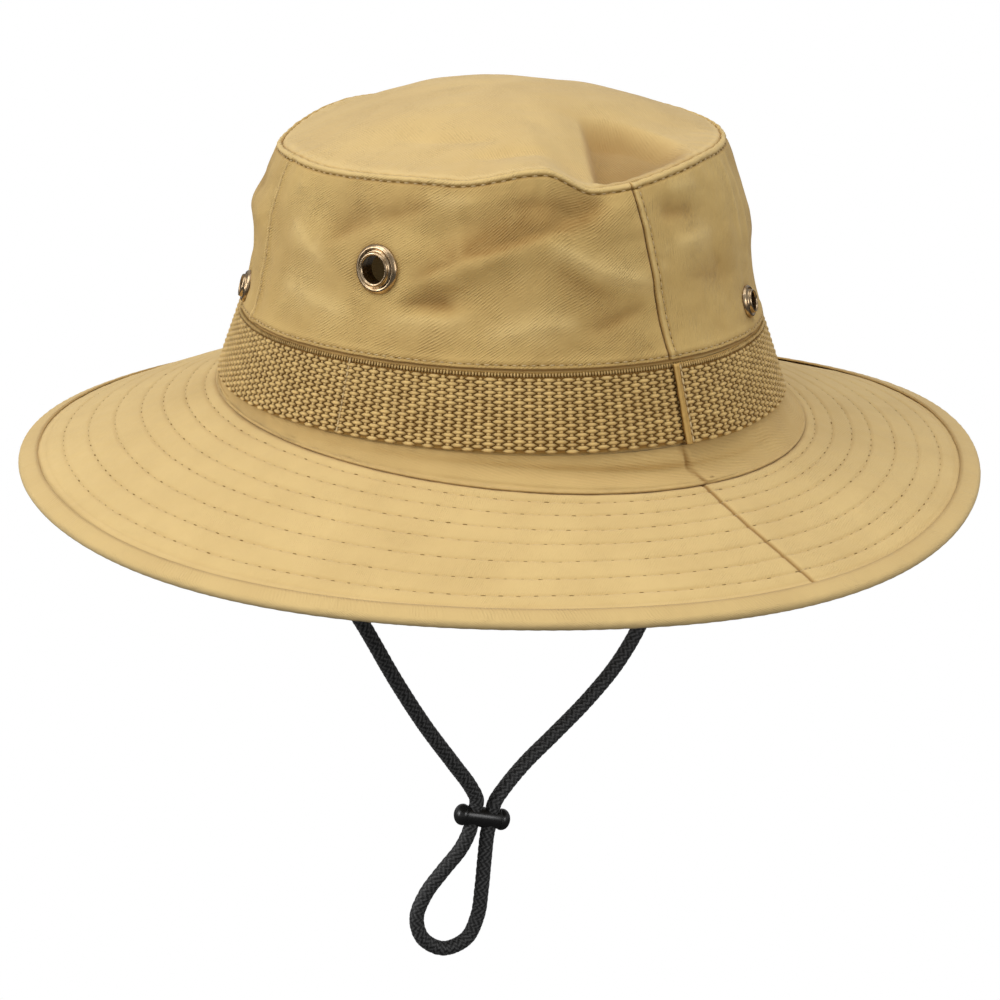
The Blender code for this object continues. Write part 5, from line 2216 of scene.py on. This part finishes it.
    def toggle(self, material: Finish) -> Piece:
        """The waisted toggle with its two holes.

        Args:
            material: Its finish.

        Returns:
            The toggle.
        """
        along, through = self.axes()
        half, radius = self.toggle_length / 2, self.toggle_diameter / 2
        slopes = np.linspace(0.12, math.pi / 2, 9)
        cap = [(radius * math.sin(t), half - radius * 0.75 * (1 - math.cos(t))) for t in slopes]
        groove = [
            (radius, half - self.toggle_cap + 0.4 * MM),
            (radius - 0.1 * MM, half - self.toggle_cap + 0.15 * MM),
            (radius - 0.35 * MM, half - self.toggle_cap),
            (radius - 0.3 * MM, half - self.toggle_cap - 0.3 * MM),
            (radius - 0.2 * MM, half - self.toggle_cap - 0.8 * MM),
            (radius - 0.2 * MM, 1.5 * MM),
        ]
        side = np.array(cap + groove)
        section = np.concatenate([side, side[::-1] * np.array([1.0, -1.0])])
        steps = 40
        turns = np.linspace(0, TURN, steps, endpoint=False)
        reach, turn = np.meshgrid(section[:, 0], turns, indexing="ij")
        height = np.repeat(section[:, 1:], steps, axis=1)
        axes = np.array([through, along.cross(through), along])
        points = np.stack([reach * np.cos(turn), reach * np.sin(turn), height], -1) @ axes
        points = points + np.array(self.toggle_centre)
        ends = [np.array(Vector(self.toggle_centre) + along * half * way) for way in (1, -1)]
        body = tube_mesh("toggle_body", points, np.stack([turn, height], -1), reach * 0, ends, material)
        for place in (-1, 1):
            depth = 3 * self.toggle_diameter
            bpy.ops.mesh.primitive_cylinder_add(vertices=steps, radius=self.hole_radius, depth=depth)
            cutter = bpy.context.object
            turned = through.to_track_quat("Z", "Y").to_matrix().to_4x4()
            cutter.matrix_world = Matrix.Translation(self.hole(place)) @ turned
            cut = body.modifiers.new("hole", "BOOLEAN")
            cut.solver = "EXACT"
            cut.object = cutter
        rounding = body.modifiers.new("rounded holes", "BEVEL")
        rounding.width = 0.22 * MM
        rounding.segments = 2
        rounding.limit_method = "ANGLE"
        rounding.angle_limit = math.radians(50)
        toggle = plain_copy(body, "slide_toggle")
        for cutter in [o for o in bpy.data.objects if o.name.startswith("Cylinder")]:
            bpy.data.objects.remove(cutter)
        toggle.data.shade_smooth()
        toggle.data.set_sharp_from_angle(angle=math.radians(40))
        return toggle


def tube_mesh(
    name: str, rings: Array, flat: Array, wear_and_painted_light: Array, ends: Array | list[Array], material: Finish
) -> Piece:
    """Makes a closed tube from rings of points, each end closed to a point.

    Args:
        name: the piece's name.
        rings: rings by points round each.
        flat: the same points laid flat.
        wear_and_painted_light: raised (+) or sunk (-) places; the cord's finish paints glints on the raised
            ones.
        ends: points whose first and last close the ends.
        material: its finish.

    Returns:
        The finished piece.
    """
    count, sides = rings.shape[:2]
    row, column = np.meshgrid(np.arange(count - 1) * sides, np.arange(sides), indexing="ij")
    after = (column + 1) % sides
    faces = np.stack([row + column, row + after, row + sides + after, row + sides + column], -1)
    faces = faces.reshape(-1, 4).tolist()
    vertices = rings.reshape(-1, 3).tolist() + [list(ends[0]), list(ends[-1])]
    start, end = count * sides, count * sides + 1
    last = (count - 1) * sides
    faces += [[start, (c + 1) % sides, c] for c in range(sides)]
    faces += [[end, last + c, last + (c + 1) % sides] for c in range(sides)]
    flat = np.concatenate([flat.reshape(-1, 2), np.zeros((2, 2))])
    made = dressed_mesh(name, vertices, faces, flat, np.append(wear_and_painted_light.ravel(), [0.0, 0.0]), material)
    if signed_volume(made.data) < 0:
        made.data.flip_normals()
    return made


def signed_volume(mesh: bpy.types.Mesh) -> float:
    """The volume inside a closed mesh, negative where it is inside out.

    Args:
        mesh: The mesh.

    Returns:
        The volume, below 0 where faces point inwards.
    """
    mesh.calc_loop_triangles()
    corners = np.empty(len(mesh.loop_triangles) * 3, np.int32)
    mesh.loop_triangles.foreach_get("vertices", corners)
    points = np.empty(len(mesh.vertices) * 3, np.float32)
    mesh.vertices.foreach_get("co", points)
    a, b, c = points.reshape(-1, 3)[corners.reshape(-1, 3)].transpose(1, 0, 2)
    return float(np.einsum("ij,ij->i", a, np.cross(b, c)).sum() / 6)


@dataclass(frozen=True)
class Studio:
    """The camera at the photograph's angle, a pale floor and soft light."""

    distance: float = 1.6
    azimuth: float = math.radians(-34.0)
    elevation: float = math.radians(15.45)
    focal: float = 4705.9
    centre: tuple[float, float] = (494.7, 374.1)
    sensor: float = 36.0
    floor_height: float = -0.262

    def camera(self) -> None:
        """Places the camera so that the hat's origin falls where it does in a picture 1000 pixels wide."""
        away = toward(self.azimuth, self.elevation)
        level = Vector((math.cos(self.azimuth), math.sin(self.azimuth), 0.0))
        up = level.cross(-away)
        right = (500 - self.centre[0]) / self.focal
        down = (500 - self.centre[1]) / self.focal
        look = -away + level * right - up * down
        data = bpy.data.cameras.new("camera")
        data.sensor_width = self.sensor
        data.lens = self.focal * self.sensor / 1000
        data.clip_start = 0.05
        data.clip_end = 50
        camera = placed("camera", data)
        camera.location = away * self.distance
        camera.rotation_mode = "QUATERNION"
        camera.rotation_quaternion = look.to_track_quat("-Z", "Y")
        bpy.context.scene.camera = camera

    def softbox(
        self, name: str, degrees: float, height: float, distance: float, size: float, share: float
    ) -> None:
        """Adds a square soft light.

        Args:
            name: its name.
            degrees: its azimuth.
            height: its elevation in degrees.
            distance: from the hat.
            size: its side.
            share: how bright it makes a facing white surface, where 1 is full white.
        """
        way = toward(math.radians(degrees), math.radians(height))
        data = bpy.data.lights.new(name, "AREA")
        data.shape = "SQUARE"
        data.size = size
        data.energy = share * math.pi**2 * distance**2
        light = placed(name, data)
        light.location = way * distance
        light.rotation_mode = "QUATERNION"
        light.rotation_quaternion = (-way).to_track_quat("-Z", "Y")

    def light(self) -> None:
        """Soft even light, brightest from above and to the left of the view."""
        scene = bpy.context.scene
        scene.view_settings.view_transform = "Standard"
        world = bpy.data.worlds.new("studio")
        world.use_nodes = True
        scene.world = world
        tree = world.node_tree
        seen = add(tree, "ShaderNodeLightPath").outputs["Is Camera Ray"]
        strength = add(tree, "ShaderNodeMapRange", {3: 0.42, 4: 1.0, 0: seen})
        feed(tree.nodes["Background"], {"Color": (1.0, 1.0, 1.0, 1.0), "Strength": strength})
        self.softbox("key", -100.0, 55.0, 1.9, 1.3, 0.36)
        self.softbox("overhead", 60.0, 76.0, 1.7, 1.3, 0.28)
        self.softbox("left", -110.0, 15.0, 2.0, 0.8, 0.33)
        self.softbox("fill", 5.0, 18.0, 2.0, 0.8, 0.26)

    def floor(self) -> None:
        """A plain pale floor under the hanging cord."""
        mesh = bpy.data.meshes.new("floor")
        side = 6.0
        corners = [(-side, -side), (side, -side), (side, side), (-side, side)]
        mesh.from_pydata([(x, y, self.floor_height) for x, y in corners], [], [(0, 1, 2, 3)])
        paint, tree, shader = blank_finish("matt white backdrop")
        feed(shader, {"Base Color": (0.1, 0.1, 0.1, 1.0), "Roughness": 1.0, "Specular IOR Level": 0.0})
        # A backdrop lit to plain white in the picture, which throws little light back up under the brim.
        seen = add(tree, "ShaderNodeLightPath").outputs["Is Camera Ray"]
        white = add(tree, "ShaderNodeEmission", {"Color": (1.0, 1.0, 1.0, 1.0), "Strength": 1.0})
        mixed = add(tree, "ShaderNodeMixShader", {0: seen, 1: shader, 2: white})
        feed(tree.nodes["Material Output"], {"Surface": mixed})
        mesh.materials.append(paint)
        placed("floor", mesh)


def fit(piece: Piece, slot: str, *nodes: str) -> Piece:
    """Puts a finished piece in the place of its solids.

    Args:
        piece: the piece.
        slot: the record's material slot; not used.
        *nodes: the solids that it stands for.

    Returns:
        The piece.
    """
    if nodes:
        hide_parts(*nodes)
    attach(piece, "root")
    log.info("%s: %d faces", piece.name, len(piece.data.polygons))
    return piece


def main() -> None:
    """Builds the studio, then the hat from its cord to its brim."""
    logging.basicConfig(level=logging.INFO, format="%(message)s")
    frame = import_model()
    studio = Studio()
    studio.camera()
    studio.light()
    studio.floor()
    form = HatForm()
    crown = Crown(form)
    brim = Brim(form)
    band = Webbing(form)
    repeat = RepeatTree()

    chin = ChinCord()
    toggle = fit(chin.toggle(MouldedBlack().material()), "black_plastic", "cord_toggle")
    cord = chin.build(BlackBraid().material())
    path = chin.path(2.0 * MM)

    twill = CottonTwill(Cloth.WALL, colour="#D6B673", shade="#9C763E").material()
    side_twill = CottonTwill(
        Cloth.SIDE, colour="#D6B673", shade="#9C763E", rib_slant=76.0, rib_height=0.12 * MM, rib_shade=0.22
    ).material()
    tip_twill = CottonTwill(
        Cloth.TIP, rib_slant=84.0, rib_height=0.11 * MM, rib_shade=0.16, mottle=0.2
    ).material()
    strip_twill = CottonTwill(
        Cloth.STRIP, colour="#D2B274", rib_slant=12.0, rib_height=0.08 * MM, rib_shade=0.16, mottle=0.2
    ).material()
    brim_cotton = CottonTwill(
        Cloth.BRIM, colour="#DBBD80", rib_pitch=0.7 * MM, rib_slant=35.0, rib_height=0.06 * MM,
        rib_shade=0.07, mottle=0.2,
    ).material()
    binding_cotton = CottonTwill(
        Cloth.BINDING, rib_pitch=0.8 * MM, rib_slant=45.0, rib_height=0.08 * MM, rib_shade=0.08, mottle=0.16
    ).material()
    yarn = SpunYarn(Yarn.WEBBING, "#F4D085", "#8C6628", roughness=0.45, lustre=0.45).material()
    # The webbing's ground, painted deep as the shade between the floats.
    core = WebbingGround().material()
    thread = SpunYarn(Yarn.THREAD, "#EBD29C", "#B08C58", roughness=0.6).material()
    # Painted shade for the holes and pits of the stitching.
    hole_shade = SpunYarn(Yarn.NEEDLE_HOLE_SHADE, "#8F6F36", "#7A5C2A", roughness=0.9, lustre=0.0).material()
    brass = AntiqueBrass().material()

    panels = (
        ("left", "left", "back", twill),
        ("right", "back", "right", side_twill),
        ("front", "right", "left", twill),
    )
    for side, start, end, cloth in panels:
        wall = crown.panel(f"wall_{side}", SEAMS[start], SEAMS[end], cloth)
        fit(wall, "khaki_cotton", f"crown_panel_{side}")
    fit(crown.tip(tip_twill), "khaki_cotton", "crown_tip")
    fit(crown.base(strip_twill), "khaki_cotton", "crown_base")
    fit(brim.cloth(brim_cotton), "khaki_brim", "brim")
    fit(brim.binding(binding_cotton), "khaki_binding", "brim_binding")
    fit(band.core(core), "woven_webbing", "webbing_band")
    weave = SmallShape(4.7 * MM, 1.5 * MM, 1.7 * MM, segments=6, rings=5, uneven=0.06, seed=2)
    fit(repeat.lay("webbing_floats", band.floats(0), weave, yarn), "woven_webbing")
    knot = SmallShape(1.6 * MM, 1.7 * MM, 1.2 * MM, segments=5, rings=3, uneven=0.12, seed=9)
    fit(repeat.lay("webbing_knots", band.floats(1), knot, yarn), "woven_webbing")
    picks = SmallShape(1.8 * MM, 0.8 * MM, 1.1 * MM, segments=6, rings=3, seed=3)
    fit(repeat.lay("webbing_selvedge", band.selvedge(), picks, yarn), "woven_webbing")
    tack = SmallShape(2.5 * MM, 0.75 * MM, 0.8 * MM, seed=4)
    fit(repeat.lay("webbing_tacks", band.tacks(), tack, thread), "woven_webbing")
    for vent in VENTS:
        fit(Eyelets(crown).build(vent, brass), "antique_brass", vent.node)
    seam_thread = SmallShape(1.9 * MM, 0.55 * MM, 0.5 * MM, segments=6, seed=5)
    stitches = Places.joined([row.places() for row in crown.rows()] + [crown.top_row().places(0.5)])
    fit(repeat.lay("crown_stitches", stitches, seam_thread, thread), "khaki_cotton")
    # Painted shade: dark dashes sunk between the stitches under the top seam.
    top_stitch_shade = SmallShape(2.1 * MM, 0.75 * MM, 0.4 * MM, uneven=0.2, seed=8)
    fit(repeat.lay("crown_marks", crown.top_row().places().sunk(0.05 * MM), top_stitch_shade, hole_shade), "khaki_cotton")
    # Painted shade in the needle holes between the stitches of the hem and seam rows.
    seam_hole_shade = SmallShape(0.9 * MM, 0.5 * MM, 0.3 * MM, segments=6, uneven=0.4, seed=10)
    holes = Places.joined([row.places(0.5) for row in crown.rows()]).sunk(0.04 * MM)
    fit(repeat.lay("crown_needle_marks", holes, seam_hole_shade, hole_shade), "khaki_cotton")
    quilt_thread = SmallShape(4.0 * MM, 0.36 * MM, 0.3 * MM, segments=6, rings=3, seed=6)
    # Painted shade in the needle holes between the quilting stitches.
    quilt_hole_shade = SmallShape(1.6 * MM, 0.55 * MM, 0.26 * MM, segments=6, rings=3, uneven=0.3, seed=7)
    for name, surface, facing in (("top", brim.surface, -1), ("under", brim.under, 1)):
        rows = brim.stitch_rows(surface, facing)
        threads = Places.joined([row.places() for row in rows]).sunk(0.1 * MM)
        hole_shade_places = Places.joined([row.places(0.5) for row in rows]).sunk(0.04 * MM)
        fit(repeat.lay(f"quilt_thread_{name}", threads, quilt_thread, thread), "khaki_brim")
        fit(repeat.lay(f"needle_marks_{name}", hole_shade_places, quilt_hole_shade, hole_shade), "khaki_brim")
    tape = BlackTape().material()
    for node in ("cord_tab_left", "cord_tab_right"):
        frame["nodes"][node].data.materials.clear()
        frame["nodes"][node].data.materials.append(tape)


if __name__ == "__main__":
    main()
